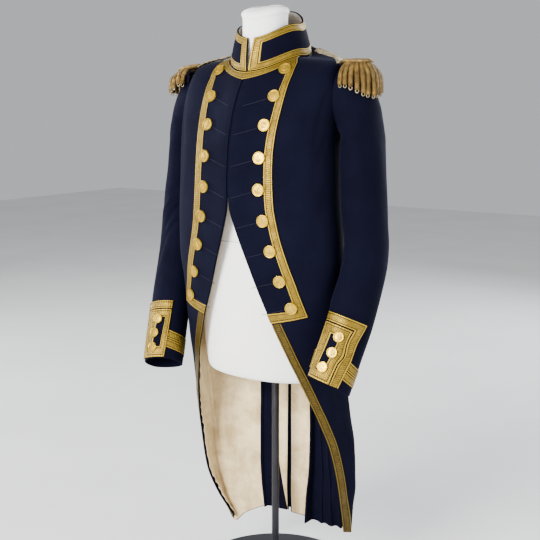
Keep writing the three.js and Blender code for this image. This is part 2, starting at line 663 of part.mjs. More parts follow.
function placeButton(name, size, centre, normal) {
  const button = add(name, buttonGeometry(size), GILT);
  button.position.copy(centre);
  button.quaternion.setFromUnitVectors(new THREE.Vector3(0, 0, 1), normal);
}

/** Row of the coat at which the surface is at a height, at a distance from the middle. */
function rowAtHeight(height, x) {
  let above = 0;
  let below = HEM;
  for (let i = 0; i < 30; i += 1) {
    const middle = (above + below) / 2;
    if (coatPoint(angleAt(x, middle), middle, 1).z > height) above = middle;
    else below = middle;
  }
  return (above + below) / 2;
}

function buildButtons(side, hand) {
  const onLapel = 3 * SEAM + CLOTH + LACE + 0.2;
  LAPEL_BUTTONS.forEach(([height, x], i) => {
    const row = rowAtHeight(height, x);
    const degrees = angleAt(x, row);
    const base = coatOffset(degrees, row, side, 0);
    const centre = coatOffset(degrees, row, side, onLapel);
    placeButton(`lapel_button_${hand}_${i + 1}`, BUTTON, centre, centre.clone().sub(base).normalize());
  });
  const onCuff = 3 * SEAM + CLOTH + LACE + 0.1;
  CUFF_BUTTONS.rows.forEach((row, i) => {
    const base = sleevePoint(CUFF_BUTTONS.angle, row, side, 0);
    const centre = sleevePoint(CUFF_BUTTONS.angle, row, side, onCuff);
    const normal = centre.clone().sub(base).normalize();
    placeButton(`cuff_button_${hand}_${i + 1}`, CUFF_BUTTON, centre, normal);
  });
}

// ---- Collar ---------------------------------------------------------------------------------
/** Point of the collar's outside, at an angle round it and a share of its height. */
function collarPoint(around, share) {
  const side = around <= 180 ? 1 : -1;
  const degrees = around <= 180 ? around : 360 - around;
  const foot = coatPoint(degrees, 0, side);
  const towardMiddle = new THREE.Vector3(0, -20, foot.z).sub(foot).normalize();
  foot.addScaledVector(towardMiddle, COLLAR_SEAT.inset);
  foot.z += COLLAR_SEAT.lift;
  const openingShare = (COLLAR_TOP.opening / COLLAR_TOP.half) ** (COLLAR_TOP.square / 2);
  const opening = THREE.MathUtils.radToDeg(Math.asin(openingShare));
  const topAngle = lerp(opening, 180, degrees / 180);
  const top = sectionPoint(COLLAR_TOP, topAngle, side);
  const bulge = COLLAR_BULGE * Math.sin(Math.PI * share);
  return foot.lerp(top, share).addScaledVector(towardMiddle, -bulge);
}

function collarGrid(out) {
  const edge = 0.15;
  const near = [edge, 1.2, 13];
  const around = [...near, ...COLLAR_ANGLES, 180, ...COLLAR_ANGLES.map((a) => 360 - a).reverse(),
    ...near.map((a) => 360 - a).reverse()];
  return around.map((angle) => {
    const height = collarPoint(angle, 0).distanceTo(collarPoint(angle, 1));
    const { low, edge: margin, width } = COLLAR_TRIM;
    const heights = [0, low, low + width, height - margin - width, height - margin, height];
    return heights.map((level) => {
      const share = level / height;
      const inside = THREE.MathUtils.clamp(share, 0.03, 0.97);
      const at = THREE.MathUtils.clamp(angle, 1.4, 358.6);
      const normal = surfaceNormal(collarPoint, at, inside, -1, [1, 0.02]);
      return collarPoint(angle, share).addScaledVector(normal, out);
    });
  });
}

function buildCollar() {
  const columns = collarGrid(0).length - 1;
  add('collar', wall(collarGrid(0), collarGrid(-COLLAR_WALL)), NAVY);
  const isLace = (i, j) => i > 0 && i < columns - 1 && j > 0 && j < 4
    && (j !== 2 || i === 1 || i === columns - 2);
  add('collar_lace', wall(collarGrid(SEAM + LACE), collarGrid(SEAM), isLace), GOLD);
  const isLining = (i, j) => i > 0 && i < columns - 1 && j > 0 && j < 4;
  const face = -COLLAR_WALL - SEAM;
  add('collar_lining', wall(collarGrid(face), collarGrid(face - LINING), isLining), GREY);
}

// ---- Epaulettes -----------------------------------------------------------------------------
function padHeight(x, hand) {
  return PAD.top[hand] - PAD.thick - (x - PAD.x) * PAD.slope[hand];
}

function padOutline(scale, height, hand) {
  const ring = [];
  const sides = 20;
  for (let i = 0; i < sides; i += 1) {
    const turn = 2 * Math.PI * i / sides;
    const x = PAD.x + PAD.long * scale * Math.cos(turn);
    const y = PAD.y + PAD.wide * scale * Math.sin(turn);
    ring.push(new THREE.Vector3(x, y, padHeight(x, hand) + height));
  }
  return ring;
}

function mirrored(geometry, side) {
  if (side > 0) return geometry;
  const points = geometry.attributes.position;
  for (let i = 0; i < points.count; i += 1) points.setX(i, -points.getX(i));
  const index = geometry.index.array;
  for (let i = 0; i < index.length; i += 3) [index[i], index[i + 1]] = [index[i + 1], index[i]];
  geometry.computeVertexNormals();
  return geometry;
}

/** A backing strip under the pad's rim with the bullions hanging from it. */
function fringeGeometry(hand) {
  const sweep = radians(FRINGE.sweep);
  const place = (turn, scale, out, down) => {
    const x = PAD.x + (PAD.long * scale + out) * Math.cos(turn);
    const y = PAD.y + (PAD.wide * scale + out) * Math.sin(turn);
    const rim = PAD.x + PAD.long * scale * Math.cos(turn);
    return new THREE.Vector3(x, y, padHeight(rim, hand) - SEAM - down);
  };
  const turns = Array.from({ length: FRINGE.strands }, (_, i) =>
    lerp(-sweep, sweep, (i + 0.5) / FRINGE.strands));
  const ends = [-sweep, ...turns, sweep];
  const { inner, outer, height } = FRINGE_STRIP;
  const strip = [outer, inner].map((scale) => ends.map((turn) => [0, height].map(
    (down) => place(turn, scale, 0, down))));
  let solid = toManifold(wall(...strip));
  const middle = (inner + outer) / 2;
  for (const turn of turns) {
    const { short, long, flare, rear } = FRINGE_HANG[hand];
    const length = lerp(short, long, Math.max(Math.cos(turn), 0));
    const swing = lerp(flare, rear, Math.max(Math.sin(turn), 0));
    const rings = FRINGE_STEPS.map((share) => {
      const out = swing * (1 - (1 - share) ** 3);
      const centre = place(turn, middle, out, height / 2 + (length - height / 2) * share);
      const half = FRINGE.thick / 2 * (share === 0 ? FRINGE.root : 1);
      return [45, 135, 225, 315].map((corner) => {
        const bend = radians(corner) + turn;
        const outward = new THREE.Vector3(Math.cos(bend), Math.sin(bend), 0);
        return centre.clone().addScaledVector(outward, half * FRINGE.corner);
      });
    });
    solid = solid.add(toManifold(loft(rings)));
  }
  return fromManifold(solid);
}

/** Point of a strap: step runs from the collar to the pad, across from edge to edge. */
function strapPoint(step, across, side, out) {
  const row = lerp(STRAP.start, STRAP.end, step);
  const middle = lerp(STRAP.from, STRAP.to, step);
  return coatOffset(middle + angleFor(STRAP.half * across, middle, row), row, side, out);
}

function buildEpaulette(side, hand) {
  const steps = Array.from({ length: STRAP_STEPS + 1 }, (_, i) => i / STRAP_STEPS);
  const [outer, inner] = [STRAP.lift + STRAP.wall, STRAP.lift].map(
    (out) => steps.map((step) => [-1, -0.5, 0, 0.5, 1].map((across) => strapPoint(step, across, side, out))));
  add(`epaulette_strap_${hand}`, wall(outer, inner), SILVER);
  const rings = PAD_RINGS.map(([scale, height]) => padOutline(scale, height, hand));
  add(`epaulette_pad_${hand}`, mirrored(loft(rings), side), GOLD);
  add(`epaulette_fringe_${hand}`, mirrored(fringeGeometry(hand), side), GOLD);
}

// ---- Dress form and stand -------------------------------------------------------------------
function formRing(point) {
  return Array.from({ length: FORM_SIDES }, (_, i) => {
    const around = 360 * i / FORM_SIDES;
    return around <= 180 ? point(around, 1) : point(360 - around, -1);
  });
}

function buildForm() {
  const named = (row) => Object.fromEntries(FORM_COLUMNS.map((name, i) => [name, row[i]]));
  const ringOf = (row) => formRing((degrees, side) => sectionPoint(named(row), degrees, side));
  const shoulders = SHOULDER_ROWS.map(([row, inset]) => formRing(
    (degrees, side) => coatOffset(degrees, row, side, -inset - 2 * Math.cos(radians(degrees)) ** 2)));
  add('dress_form', loft([...FORM_ROWS.map(ringOf), ...shoulders, ...NECK_ROWS.map(ringOf)]), WHITE);
}

function buildStand() {
  const pole = new THREE.CylinderGeometry(POLE.radius, POLE.radius, POLE.top - BASE.height - SEAM, 20);
  pole.rotateX(Math.PI / 2);
  const poleMesh = add('stand_pole', fromManifold(toManifold(pole)), IRON);
  poleMesh.position.z = (POLE.top + BASE.height + SEAM) / 2;
  const profile = [[0, 0], [BASE.radius, 0], [BASE.radius, BASE.height - BASE.bevel],
    [BASE.radius - BASE.bevel, BASE.height], [0, BASE.height]];
  const plate = new THREE.LatheGeometry(profile.map(([r, z]) => new THREE.Vector2(r, z)), 40);
  plate.rotateX(Math.PI / 2);
  add('stand_base', fromManifold(toManifold(plate)), IRON);
}

for (const [side, hand] of [[1, 'L'], [-1, 'R']]) {
  buildBody(side, hand);
  buildLinings(side, hand);
  buildLapel(side, hand);
  buildSkirtLace(side, hand);
  buildSleeve(side, hand);
  buildCuff(side, hand);
  buildButtons(side, hand);
  buildEpaulette(side, hand);
}
buildCollar();
buildForm();
buildStand();

export default model;
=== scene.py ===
"""Full-dress naval tail coat on a dress form, dressed around the packed solids.

Sizes in the tables are millimetres; the coat faces -Y, the wearer's left is +X and +Z is up.
"""
import math

import bpy
import numpy as np
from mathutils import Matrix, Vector


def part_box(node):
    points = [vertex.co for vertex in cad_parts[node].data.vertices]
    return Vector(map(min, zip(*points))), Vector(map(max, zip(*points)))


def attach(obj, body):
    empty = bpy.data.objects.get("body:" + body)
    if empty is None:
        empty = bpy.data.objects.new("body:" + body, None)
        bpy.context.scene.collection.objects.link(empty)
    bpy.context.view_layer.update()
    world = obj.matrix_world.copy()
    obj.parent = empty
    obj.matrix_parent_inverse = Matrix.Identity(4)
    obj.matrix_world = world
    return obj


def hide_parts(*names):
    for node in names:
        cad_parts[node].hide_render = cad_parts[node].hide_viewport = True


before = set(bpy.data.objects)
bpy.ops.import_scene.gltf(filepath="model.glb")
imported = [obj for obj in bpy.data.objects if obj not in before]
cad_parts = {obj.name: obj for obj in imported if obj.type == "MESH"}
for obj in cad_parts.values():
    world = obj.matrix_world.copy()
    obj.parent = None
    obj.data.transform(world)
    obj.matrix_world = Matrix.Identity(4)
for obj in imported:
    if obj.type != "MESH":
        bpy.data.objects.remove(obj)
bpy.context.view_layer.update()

bl_info = {
    "name": "Tail Coat",
    "version": (1, 0, 0),
    "blender": (4, 5, 0),
    "location": "View3D > Sidebar > Tail Coat",
    "description": "Builds a full-dress naval tail coat on its dress form",
    "category": "Object",
}

MM = 0.001
SIDES = ((1, "L"), (-1, "R"))

# ---- Sections of the coat -----------------------------------------------------------------------
COAT_COLUMNS = ("row", "side", "front", "back", "half", "frontY", "midY", "backY", "square",
                "ridge", "cut", "seam")
COAT_ROWS = (
    (0, 1131, 1100, 1170, 83, -99, -20, 66, 2.05, 5, 0, 99),
    (1, 1127, 1090, 1160, 120, -101, -22, 71, 2.05, 10, 0, 99),
    (2, 1122, 1076, 1147, 150, -106, -24, 76, 2.1, 14, 0, 99),
    (3, 1113, 1055, 1128, 168, -116, -30, 80, 2.2, 16, 0, 99),
    (4, 1090, 1028, 1103, 175, -128, -38, 83, 2.3, 16, 0, 106),
    (5, 1055, 998, 1070, 177, -139, -48, 83, 2.4, 14, 0, 119),
    (6, 1012, 965, 1025, 176, -149, -58, 80, 2.4, 12, 0, 134),
    (7, 965, 930, 972, 175, -155, -66, 74, 2.4, 10, 0, 147),
    (8, 910, 890, 910, 177, -158, -71, 66, 2.35, 10, 0, 157),
    (9, 850, 845, 850, 181, -159, -73, 60, 2.3, 9, 1.5, 163),
    (10, 790, 790, 790, 187, -157, -70, 58, 2.2, 8, 16.5, 164),
    (11, 730, 730, 730, 189, -155, -64, 58, 2.2, 7, 38, 164),
    (12, 670, 670, 670, 185, -151, -55, 60, 2.2, 5, 59.5, 163),
    (13, 612, 612, 612, 185, -147, -45, 60, 2.2, 3, 83, 162),
    (14, 545, 545, 545, 183, -137, -38, 58, 2.2, 0, 108, 162),
    (15, 480, 480, 480, 181, -122, -25, 58, 2.2, 0, 129, 162),
    (16, 400, 400, 400, 183, -107, -5, 58, 2.2, 0, 152, 162),
    (17, 330, 330, 330, 187, -88, 15, 58, 2.2, 0, 164, 162),
    (18, 250, 250, 250, 186, -66, 25, 58, 2.2, 0, 169, 162),
    (19, 190, 190, 190, 175, -42, 36, 57, 2.2, 0, 164, 162),
    (20, 125, 125, 125, 163, 8, 51, 60, 2.2, 0, 154, 162),
)
RIDGE_WIDTH = 42
RIGHT_SKIRT = 15  # row from which the right skirt hangs lower than the left
# How far it hangs lower at the hem, in mm, by share of the front from its edge to the seam.
RIGHT_HEM = ((0, 34), (0.43, 37), (0.5, 41), (0.58, 54), (0.66, 56), (0.8, 33), (1, -4))
# How far that skirt's front edge swings to the middle, in mm, by row.
RIGHT_EDGE = ((13.5, 0), (16, -10), (17.5, -15), (18.8, -5), (20, 25))
LAPEL_COLUMNS = ("row", "outer")
LAPEL_ROWS = ((0, 81.8), (1, 96), (2, 97.5), (3, 97.5), (4, 97), (5, 95), (6, 93), (7, 92), (8, 93),
              (9, 96), (10, 104.5), (11, 120), (12, 136), (13, 151))
NECK_BAND = 0.5
LAPEL_BAND = 12.68
LAPEL_END = 13
LAPEL_LIFT = 16
CORNER_ROWS = (9, LAPEL_END, 15.5)  # rows over which the front rises to the lapel's low corner
VENT_SPREAD = 3  # mm that each back swings away from the centre vent at the hem
ROW_HEIGHT = 58  # mm between two rows near the lapel's end
NECKLINE = {"dip": 0.85, "end": 4, "sharpness": 2.2}
FLUTE_TOP = 14  # row from which the skirts flute
FLUTE_DEPTHS = (2.2, 1.2)
FLUTE_SPAN = (60, 90, 148, 158)  # degrees over which the flutes fade in and out again
HEM = 20
LINING_TOP = 8
SKIRT_LACE = 20
SKIRT_LACE_LIFT = 0.7
LAPEL_LACE = 18

# ---- Walls and the gaps between them ------------------------------------------------------------
CLOTH = 1.6
LINING = 1.2
LACE = 1.0
SEAM = 0.3
LINING_GAP = {"front": 1.25, "back": 0.85}
ARMHOLE_GAP = 0.8
ON_CLOTH = SEAM + CLOTH  # the face of a lapel or a flap over the cloth's face
ON_LAPEL = 2 * SEAM + CLOTH  # where lace lies on it

# ---- Sections of a sleeve -----------------------------------------------------------------------
ARMHOLE = 165
UNDERARM = {"x": 162, "z": 965, "start": 17}
HEAD_COLUMNS = ("row", "turn", "deep", "wide", "midY")
HEAD_ROWS = ((0, 0, 132, 54, -14), (1, 15, 123, 54, -14), (2, 30, 108, 55, -13),
             (3, 45, 91, 57, -12),
             (4, 60, 77, 60, -12), (5, 75, 71, 62, -12), (6, 90, 70, 62, -11))
ARM_COLUMNS = ("row", "x", "y", "z", "across", "along", "lean")
ARM_ROWS = (
    (6, 214, -11, 965, 35, 62, 0),
    (7, 217, -13, 910, 37, 60, 2),
    (8, 223, -18, 850, 39, 58, 5),
    (9, 228, -23, 800, 40, 55, 8),
    (10, 232, -32, 740, 42, 51, 15),
    (11, 227, -68, 640, 43, 46, 23),
    (12, 216, -102, 560, 43, 43, 22),
    (13, 206, -130, 490, 42, 43, 21),
)
HEAD_END = 6
ELBOW = 8
WRIST = 12
SLEEVE_CREASED = (0.5, 3, 10.9, 11.15)  # rows over which its creases fade in and out again
CREASES_FROM = -110  # degrees at which the creases' places start round a sleeve
SLEEVE_END = 13
FRONT_SEAM = 124
BACK_SEAM = 252
SEAM_DEGREES = 0.2  # from a seam's middle to each panel
RIGHT_SLEEVE_DROP = 8
CUFF_ROLL = 14  # degrees that the cuff's end tips down to its outer side
# Lines down a cuff's flap, in degrees round the sleeve: outer edge, gap, slot's edges, inner edge.
FLAP_COLUMNS = ("down", "outer", "gap", "slot_out", "slot_in", "inner")
FLAP_LINES = {
    "L": ((0, 16.5, 40, 72, 94.5, 127.5), (0.33, 28.3, 50.5, 73.5, 96.5, 127.5),
          (0.5, 28.2, 47.8, 76, 98.5, 127.5),
          (0.66, 31.5, 56, 81, 102, 127.5), (1, 38.8, 60.5, 90, 107, 127.5)),
    "R": ((0, 22, 50, 97, 121, 135.7), (0.33, 32, 58, 96, 119, 133.5),
          (0.5, 32, 56, 92, 117, 132.5),
          (0.66, 35, 60, 91, 115, 131.5), (1, 42, 66, 90, 113, 129.2)),
}
FLAP_ROWS = {"L": (11.16, 12.75), "R": (11.38, 12.88)}
FLAP_BANDS = {"top": 0.122, "second": 0.14, "slot": 0.275,
              "end": 0.8}  # shares of the flap's height
CUFF_RINGS = {"L": (12.03, 12.245, 12.265, 12.5), "R": (12.11, 12.34, 12.36, 12.59)}
RING_DROP = 0.2
INNER_LACE_GAP = 2.6  # degrees between the cuff's outer and inner lace
SCALLOP = {"depth": 7, "width": 0.055}  # how the slot's edge curves round each button
SLEEVE_HEM = {"L": (12.77, 12.9), "R": (12.9, 13.04)}  # the sleeve's last row in front and behind

# ---- Buttons ------------------------------------------------------------------------------------
LAPEL_BUTTONS = ((1104, 79), (1053, 75.5), (998, 68), (937, 65.5), (876.5, 66), (817, 74.5),
                 (758, 88),
                 (699.5, 104.5), (646.5, 123.5))
CUFF_BUTTONS = {"L": ((75.0, 11.61), (78.1, 11.99), (88.6, 12.40)),
                "R": ((99.2, 11.83), (93.5, 12.19), (92.8, 12.59))}
LAPEL_BUTTON = {"radius": 12.5, "height": 3.6}
CUFF_BUTTON = {"radius": 10.5, "height": 3.4}
BUTTON_SEAT = ON_LAPEL + LACE + 0.15
# A buttonhole starts a gap from its button's middle, that much lower, and falls towards the edge.
BUTTONHOLE = {"gap": 15, "length": 44, "lower": 5, "fall": 13, "lift": 0.25, "cord": 0.5,
              "nearest": 3}

# ---- Collar -------------------------------------------------------------------------------------
COLLAR_TOP = {"half": 64, "frontY": -88, "midY": -18, "backY": 44, "front": 1168, "side": 1197,
              "back": 1228, "square": 2.1, "opening": 7}
COLLAR_BULGE = 2
COLLAR_SEAT = {"inset": 2.4, "lift": 1.3}
COLLAR_MIDDLE = -20  # Y of the neck's middle, towards which the collar's foot is set in
COLLAR_PIPING = {"radius": 1.5, "below": 0.2, "inward": 1.0}
COLLAR_WALL = 2.6
COLLAR_TRIM = {"low": 2.5, "edge": 1.5, "width": 13.5, "front": 1.2, "front_end": (18, 12)}

# ---- Epaulettes ---------------------------------------------------------------------------------
STRAP = {"start": 0.22, "end": 3, "from": 117, "to": 91, "half": 20, "lift": 0.7, "wall": 2.2,
         "rise": 8.5}
PAD = {"x": 201, "y": -20, "long": 33.5, "wide": 36, "thick": 8, "top": {"L": 1124, "R": 1117.6},
       "slope": {"L": 0, "R": 0.2}}
PAD_SIZE = 0.9  # the padding inside its rolled rim
FRINGE = {"strands": 15, "radius": 4.8, "sweep": 112, "root": 0.8}
FRINGE_HANG = {"L": {"short": 48, "long": 66, "flare": 12, "rear": 27},
               "R": {"short": 36, "long": 50, "flare": 17, "rear": 27}}
PAD_PROFILE = ((0.9, 0.0), (0.97, 1.0), (1.0, 2.6), (0.99, 4.4), (0.95, 6.0), (0.86, 7.2),
               (0.7, 7.8), (0.4, 8.0))
PAD_RIMS = ((0.985, 4.6, 1.7), (0.86, 7.4, 1.3))  # size, height and radius of the rolled wire
COIL_TURN = {"rim": 3.2, "bullion": 2.6}  # mm that one turn of the wire takes
LOOP = {"radius": 3.2, "wire": 0.8, "drop": 1.8}
# A navy sheet hung inside the fringe, so that the gaps between the bullions show dark: painted
# shade.
FRINGE_SHADE_SHEET = {"inward": 5, "under": 2, "narrower": 3, "shorter": 10, "wall": 1.0}


# ---- Curves through tables ----------------------------------------------------------------------
def smooth_curve(knots, values):
    """A smooth curve through values at knots that never swings past them."""
    knots = np.array(knots, float)
    values = np.array(values, float)
    slopes = np.diff(values) / np.diff(knots)
    tangents = np.concatenate([slopes[:1], np.zeros(len(values) - 2), slopes[-1:]])
    product = slopes[:-1] * slopes[1:]
    total = slopes[:-1] + slopes[1:]
    tangents[1:-1] = np.where(product > 0, 2 * product / np.where(total == 0, 1, total), 0)

    def curve(at):
        at = np.asarray(at, float)
        i = np.clip(np.searchsorted(knots, at) - 1, 0, len(knots) - 2)
        width = knots[i + 1] - knots[i]
        s = np.clip((at - knots[i]) / width, 0, 1)
        start = values[i] * (1 + 2 * s) * (1 - s) ** 2 + tangents[i] * width * s * (1 - s) ** 2
        end = values[i + 1] * s * s * (3 - 2 * s) + tangents[i + 1] * width * s * s * (s - 1)
        return start + end

    return curve


def table_curves(columns, rows):
    """One smooth curve for each column of a table; the first column holds the knots."""
    knots = [row[0] for row in rows]
    return {name: smooth_curve(knots, [row[i + 1] for row in rows]) for i,
            name in enumerate(columns[1:])}


COAT = table_curves(COAT_COLUMNS, COAT_ROWS)
LAPEL = table_curves(LAPEL_COLUMNS, LAPEL_ROWS)
HEAD = table_curves(HEAD_COLUMNS, HEAD_ROWS)
ARM = table_curves(ARM_COLUMNS, ARM_ROWS)
RIGHT_SWING = smooth_curve(*zip(*RIGHT_EDGE))
RIGHT_DROP = smooth_curve(*zip(*RIGHT_HEM))


def lerp(a, b, share):
    return a + (b - a) * share


def smoothstep(value, low, high):
    s = np.clip((value - low) / (high - low), 0, 1)
    return s * s * (3 - 2 * s)


def hump(value, start, peak, end):
    """Rises from 0 at start to 1 at peak and falls back to 0 at end."""
    return np.clip(np.minimum((value - start) / max(peak - start, 1e-9),
                              (end - value) / (end - peak)), 0, 1)


def unit(vectors):
    return vectors / np.maximum(np.linalg.norm(vectors, axis=-1, keepdims=True), 1e-9)


def surface_normal(point, across, down, steps, sign):
    """Unit normal, facing out, of a surface given by point(across, down)."""
    along = point(across + steps[0], down) - point(across - steps[0], down)
    below = point(across, down + steps[1]) - point(across, down - steps[1])
    return unit(np.cross(below, along)) * sign


# ---- Creases ------------------------------------------------------------------------------------
CREASE_COLUMNS = ("side", "across0", "down0", "across1", "down1", "width", "depth")
# Soft troughs (below 0) and ridges on the body: from and to in degrees from the front and rows.
BODY_CREASES = (
    ("L", 76, 4.3, 66, 7.4, 15, -2.2),
    ("L", 66, 4.8, 60, 9.0, 20, 1.4),
    ("L", 80, 6.8, 62, 8.6, 13, -1.4),
    ("L", 84, 8.6, 58, 10.2, 18, -1.8),
    ("L", 80, 9.6, 64, 11.6, 20, 1.3),
    ("L", 40, 1.6, 22, 3.4, 13, -1.2),
    ("L", 30, 2.6, 12, 4.4, 12, 0.9),
    ("L", 95, 13.2, 80, 17.2, 22, -3.0),
    ("L", 112, 12.4, 104, 18.0, 20, 2.6),
    ("L", 78, 13.6, 66, 16.6, 16, 1.6),
    ("L", 132, 13.5, 126, 19.5, 18, -3.2),
    ("L", 92, 16.5, 84, 19.8, 15, 2.4),
    ("L", 60, 11.6, 46, 13.0, 14, -1.0),
    ("L", 14, 5.2, 5, 7.6, 9, -0.8),
    ("R", 74, 4.2, 68, 8.2, 13, 2.0),
    ("R", 84, 5.0, 76, 9.6, 12, -2.4),
    ("R", 62, 5.0, 58, 9.8, 16, -1.2),
    ("R", 86, 9.4, 72, 12.2, 15, 1.8),
    ("R", 44, 1.8, 24, 3.6, 12, -1.2),
    ("R", 20, 3.0, 8, 5.6, 11, 0.9),
    ("R", 100, 13.4, 84, 17.8, 20, -3.0),
    ("R", 118, 12.8, 108, 18.6, 22, 2.8),
    ("R", 134, 14.0, 130, 19.6, 16, -2.6),
    ("R", 70, 14.4, 62, 17.6, 14, 1.2),
    ("R", 58, 16.8, 46, 18.6, 10, -1.2),
    ("B", 160, 6.0, 172, 8.6, 15, -1.6),
    ("B", 150, 4.4, 170, 6.4, 16, 1.2),
    ("B", 172, 8.4, 160, 10.2, 16, -1.4),
    ("B", 170, 13.0, 172, 19.6, 14, 2.2),
    ("B", 140, 3.6, 158, 5.6, 13, -1.2),
)
# The same on a sleeve: degrees round it (0 out, 90 front, 180 body) and rows of the sleeve.
SLEEVE_CREASES = (
    ("L", 128, 9.2, 176, 10.3, 9, -3.4),
    ("L", 120, 9.9, 182, 10.9, 8, -2.8),
    ("L", 108, 10.4, 168, 11.2, 9, 1.8),
    ("L", 60, 7.2, 28, 9.8, 15, -1.6),
    ("L", 96, 5.8, 78, 8.6, 16, -1.8),
    ("L", 40, 9.6, 84, 10.7, 12, -1.6),
    ("L", -20, 8.8, -52, 10.9, 14, 1.8),
    ("L", 20, 5.4, 4, 8.2, 17, 1.5),
    ("L", 100, 3.6, 70, 5.6, 12, -1.6),
    ("L", 142, 5.4, 146, 9.6, 20, 4.2),
    ("L", 15, 10.4, 50, 11.05, 10, 1.1),
    ("L", -60, 9.0, -90, 11.0, 12, -1.8),
    ("R", 140, 8.4, 60, 10.2, 8, -3.2),
    ("R", 132, 9.2, 52, 10.8, 7, -2.6),
    ("R", 120, 8.0, 44, 9.5, 8, 2.4),
    ("R", 150, 7.2, 88, 8.7, 10, -2.0),
    ("R", 70, 6.0, 58, 9.0, 13, 1.6),
    ("R", 40, 6.6, 26, 9.4, 12, -1.6),
    ("R", 30, 9.6, 6, 11.0, 11, -1.6),
    ("R", -24, 8.8, -58, 10.8, 13, 1.9),
    ("R", 100, 4.0, 72, 6.0, 12, -1.5),
    ("R", 96, 10.3, 60, 11.05, 9, 1.3),
    ("R", -70, 9.2, -96, 11.2, 12, -1.6),
)
# Puckers and folds that only the skirt's lining has.
LINING_CREASES = (
    ("R", 60, 14.3, 76, 15.4, 6, -1.6),
    ("R", 58, 15.2, 74, 16.2, 5, 1.2),
    ("R", 62, 16.0, 78, 16.8, 5, -1.4),
    ("R", 64, 16.9, 80, 17.6, 5, 1.1),
    ("R", 66, 17.6, 84, 18.4, 5, -1.3),
    ("R", 68, 18.4, 86, 19.1, 5, 1.0),
    ("R", 78, 13.4, 92, 17.6, 12, -6.0),
    ("R", 100, 15.0, 116, 19.2, 13, -6.5),
    ("R", 118, 13.2, 104, 15.6, 11, -5.0),
    ("R", 84, 16.8, 96, 19.6, 9, -4.0),
    ("R", 136, 13.4, 130, 17.0, 12, -4.5),
    ("L", 172, 14.4, 168, 18.6, 7, -2.5),
    ("R", 92, 13.6, 98, 18.8, 16, -3.0),
    ("R", 110, 13.2, 112, 19.0, 14, 2.4),
    ("R", 128, 14.0, 122, 19.2, 15, -2.6),
    ("R", 82, 14.2, 86, 17.4, 9, 1.8),
    ("R", 146, 14.2, 142, 18.8, 10, 1.6),
    ("L", 70, 14.8, 88, 16.2, 7, -1.5),
    ("L", 104, 13.8, 108, 18.8, 15, 2.2),
    ("L", 126, 14.0, 122, 19.2, 14, -2.4),
    ("B", 170, 14.0, 172, 19.2, 8, -1.4),
    ("B", 174, 15.0, 168, 18.4, 7, 1.1),
)
BODY_SCALE = (3.1, 56)  # mm a degree across and a row down, near enough for a crease's width
SLEEVE_SCALE = (0.85, 56)
CREASE_BOW = 0.06  # share of its length by which a crease bends
CREASE_LIMIT = 0.5  # mm that a lining's own ridges may rise towards the cloth over them


def crease_depth(creases, across, down, side, scale):
    """Height of all the creases of a side at a place, in mm, each fading out at its two ends."""
    total = np.zeros(np.broadcast(across, down).shape)
    for values in creases:
        crease = dict(zip(CREASE_COLUMNS, values))
        if crease["side"] in ("B", "L" if side > 0 else "R"):
            start = np.array([crease["across0"] * scale[0], crease["down0"] * scale[1]])
            run = np.array([crease["across1"] * scale[0], crease["down1"] * scale[1]]) - start
            length = np.linalg.norm(run)
            off_across = across * scale[0] - start[0]
            off_down = down * scale[1] - start[1]
            along = (off_across * run[0] + off_down * run[1]) / length
            bow = CREASE_BOW * length * np.sin(np.clip(along / length, 0, 1) * math.pi)
            beside = (off_across * run[1] - off_down * run[0]) / length + bow
            fade = smoothstep(along, -0.1 * length,
                              0.3 * length) * (1 - smoothstep(along, 0.6 * length, 1.1 * length))
            total = total + crease["depth"] * fade * np.exp(-(beside / crease["width"]) ** 2)
    return total


# ---- Surfaces -----------------------------------------------------------------------------------
def section_point(section, degrees, side):
    """Point at an angle from the front on a rounded section, drooping at its front and back."""
    sine = np.sin(np.radians(degrees))
    cosine = np.cos(np.radians(degrees))
    power = 2 / section["square"]
    across = np.sign(sine) * np.abs(sine) ** power
    depth = np.abs(cosine) ** power
    end_y = np.where(cosine > 0, section["frontY"], section["backY"])
    end_z = np.where(cosine > 0, section["front"], section["back"])
    x = side * section["half"] * across
    y = lerp(section["midY"], end_y, depth)
    z = lerp(section["side"], end_z, cosine * cosine)
    return np.stack(np.broadcast_arrays(x, y, z), -1)


def coat_point(degrees, row, side):
    """The coat's smooth outside, before its creases."""
    degrees, row = np.broadcast_arrays(np.asarray(degrees, float), np.asarray(row, float))
    point = section_point({name: curve(row) for name, curve in COAT.items()}, degrees, side)
    ridge = COAT["ridge"](row) * np.exp(-(point[..., 0] / RIDGE_WIDTH) ** 2)
    point[..., 1] -= np.where(point[..., 1] < 0, ridge, 0)
    if side < 0:
        hang = smoothstep(row, RIGHT_SKIRT, HEM)
        share = np.minimum(degrees / COAT["seam"](row), 1)
        point[..., 2] -= hang * RIGHT_DROP(share)
        point[..., 0] += RIGHT_SWING(row) * (1 - share)
    return point


def coat_surface(degrees, row, side, out=0.0, extra=()):
    """Point of the creased coat, moved out by a distance."""
    degrees, row = np.broadcast_arrays(np.asarray(degrees, float), np.asarray(row, float))
    inside = np.clip(row, 0.05, HEM - 0.05)
    normal = surface_normal(lambda a, b: coat_point(a, b, side), degrees, inside, (0.6, 0.05), side)
    lift = crease_depth(BODY_CREASES, degrees, row, side, BODY_SCALE) + out
    if len(extra):
        lift = lift + np.minimum(crease_depth(extra, degrees, row, side, BODY_SCALE), CREASE_LIMIT)
    flute = smoothstep(row, FLUTE_TOP,
                       HEM) * (FLUTE_DEPTHS[0] * np.sin(np.radians(degrees * 9 + 40 * side))
                                        + FLUTE_DEPTHS[1] * np.sin(np.radians(degrees * 17 + 80)))
    fade = smoothstep(degrees, *FLUTE_SPAN[:2]) * (1 - smoothstep(degrees, *FLUTE_SPAN[2:]))
    return coat_point(degrees, row, side) + normal * (lift + flute * fade)[..., None]


def angle_at(x, row):
    """Angle from the front at which a coat section is as far from the middle as x."""
    share = np.minimum(x / COAT["half"](row), 1)
    return np.degrees(np.arcsin(share ** (COAT["square"](row) / 2)))


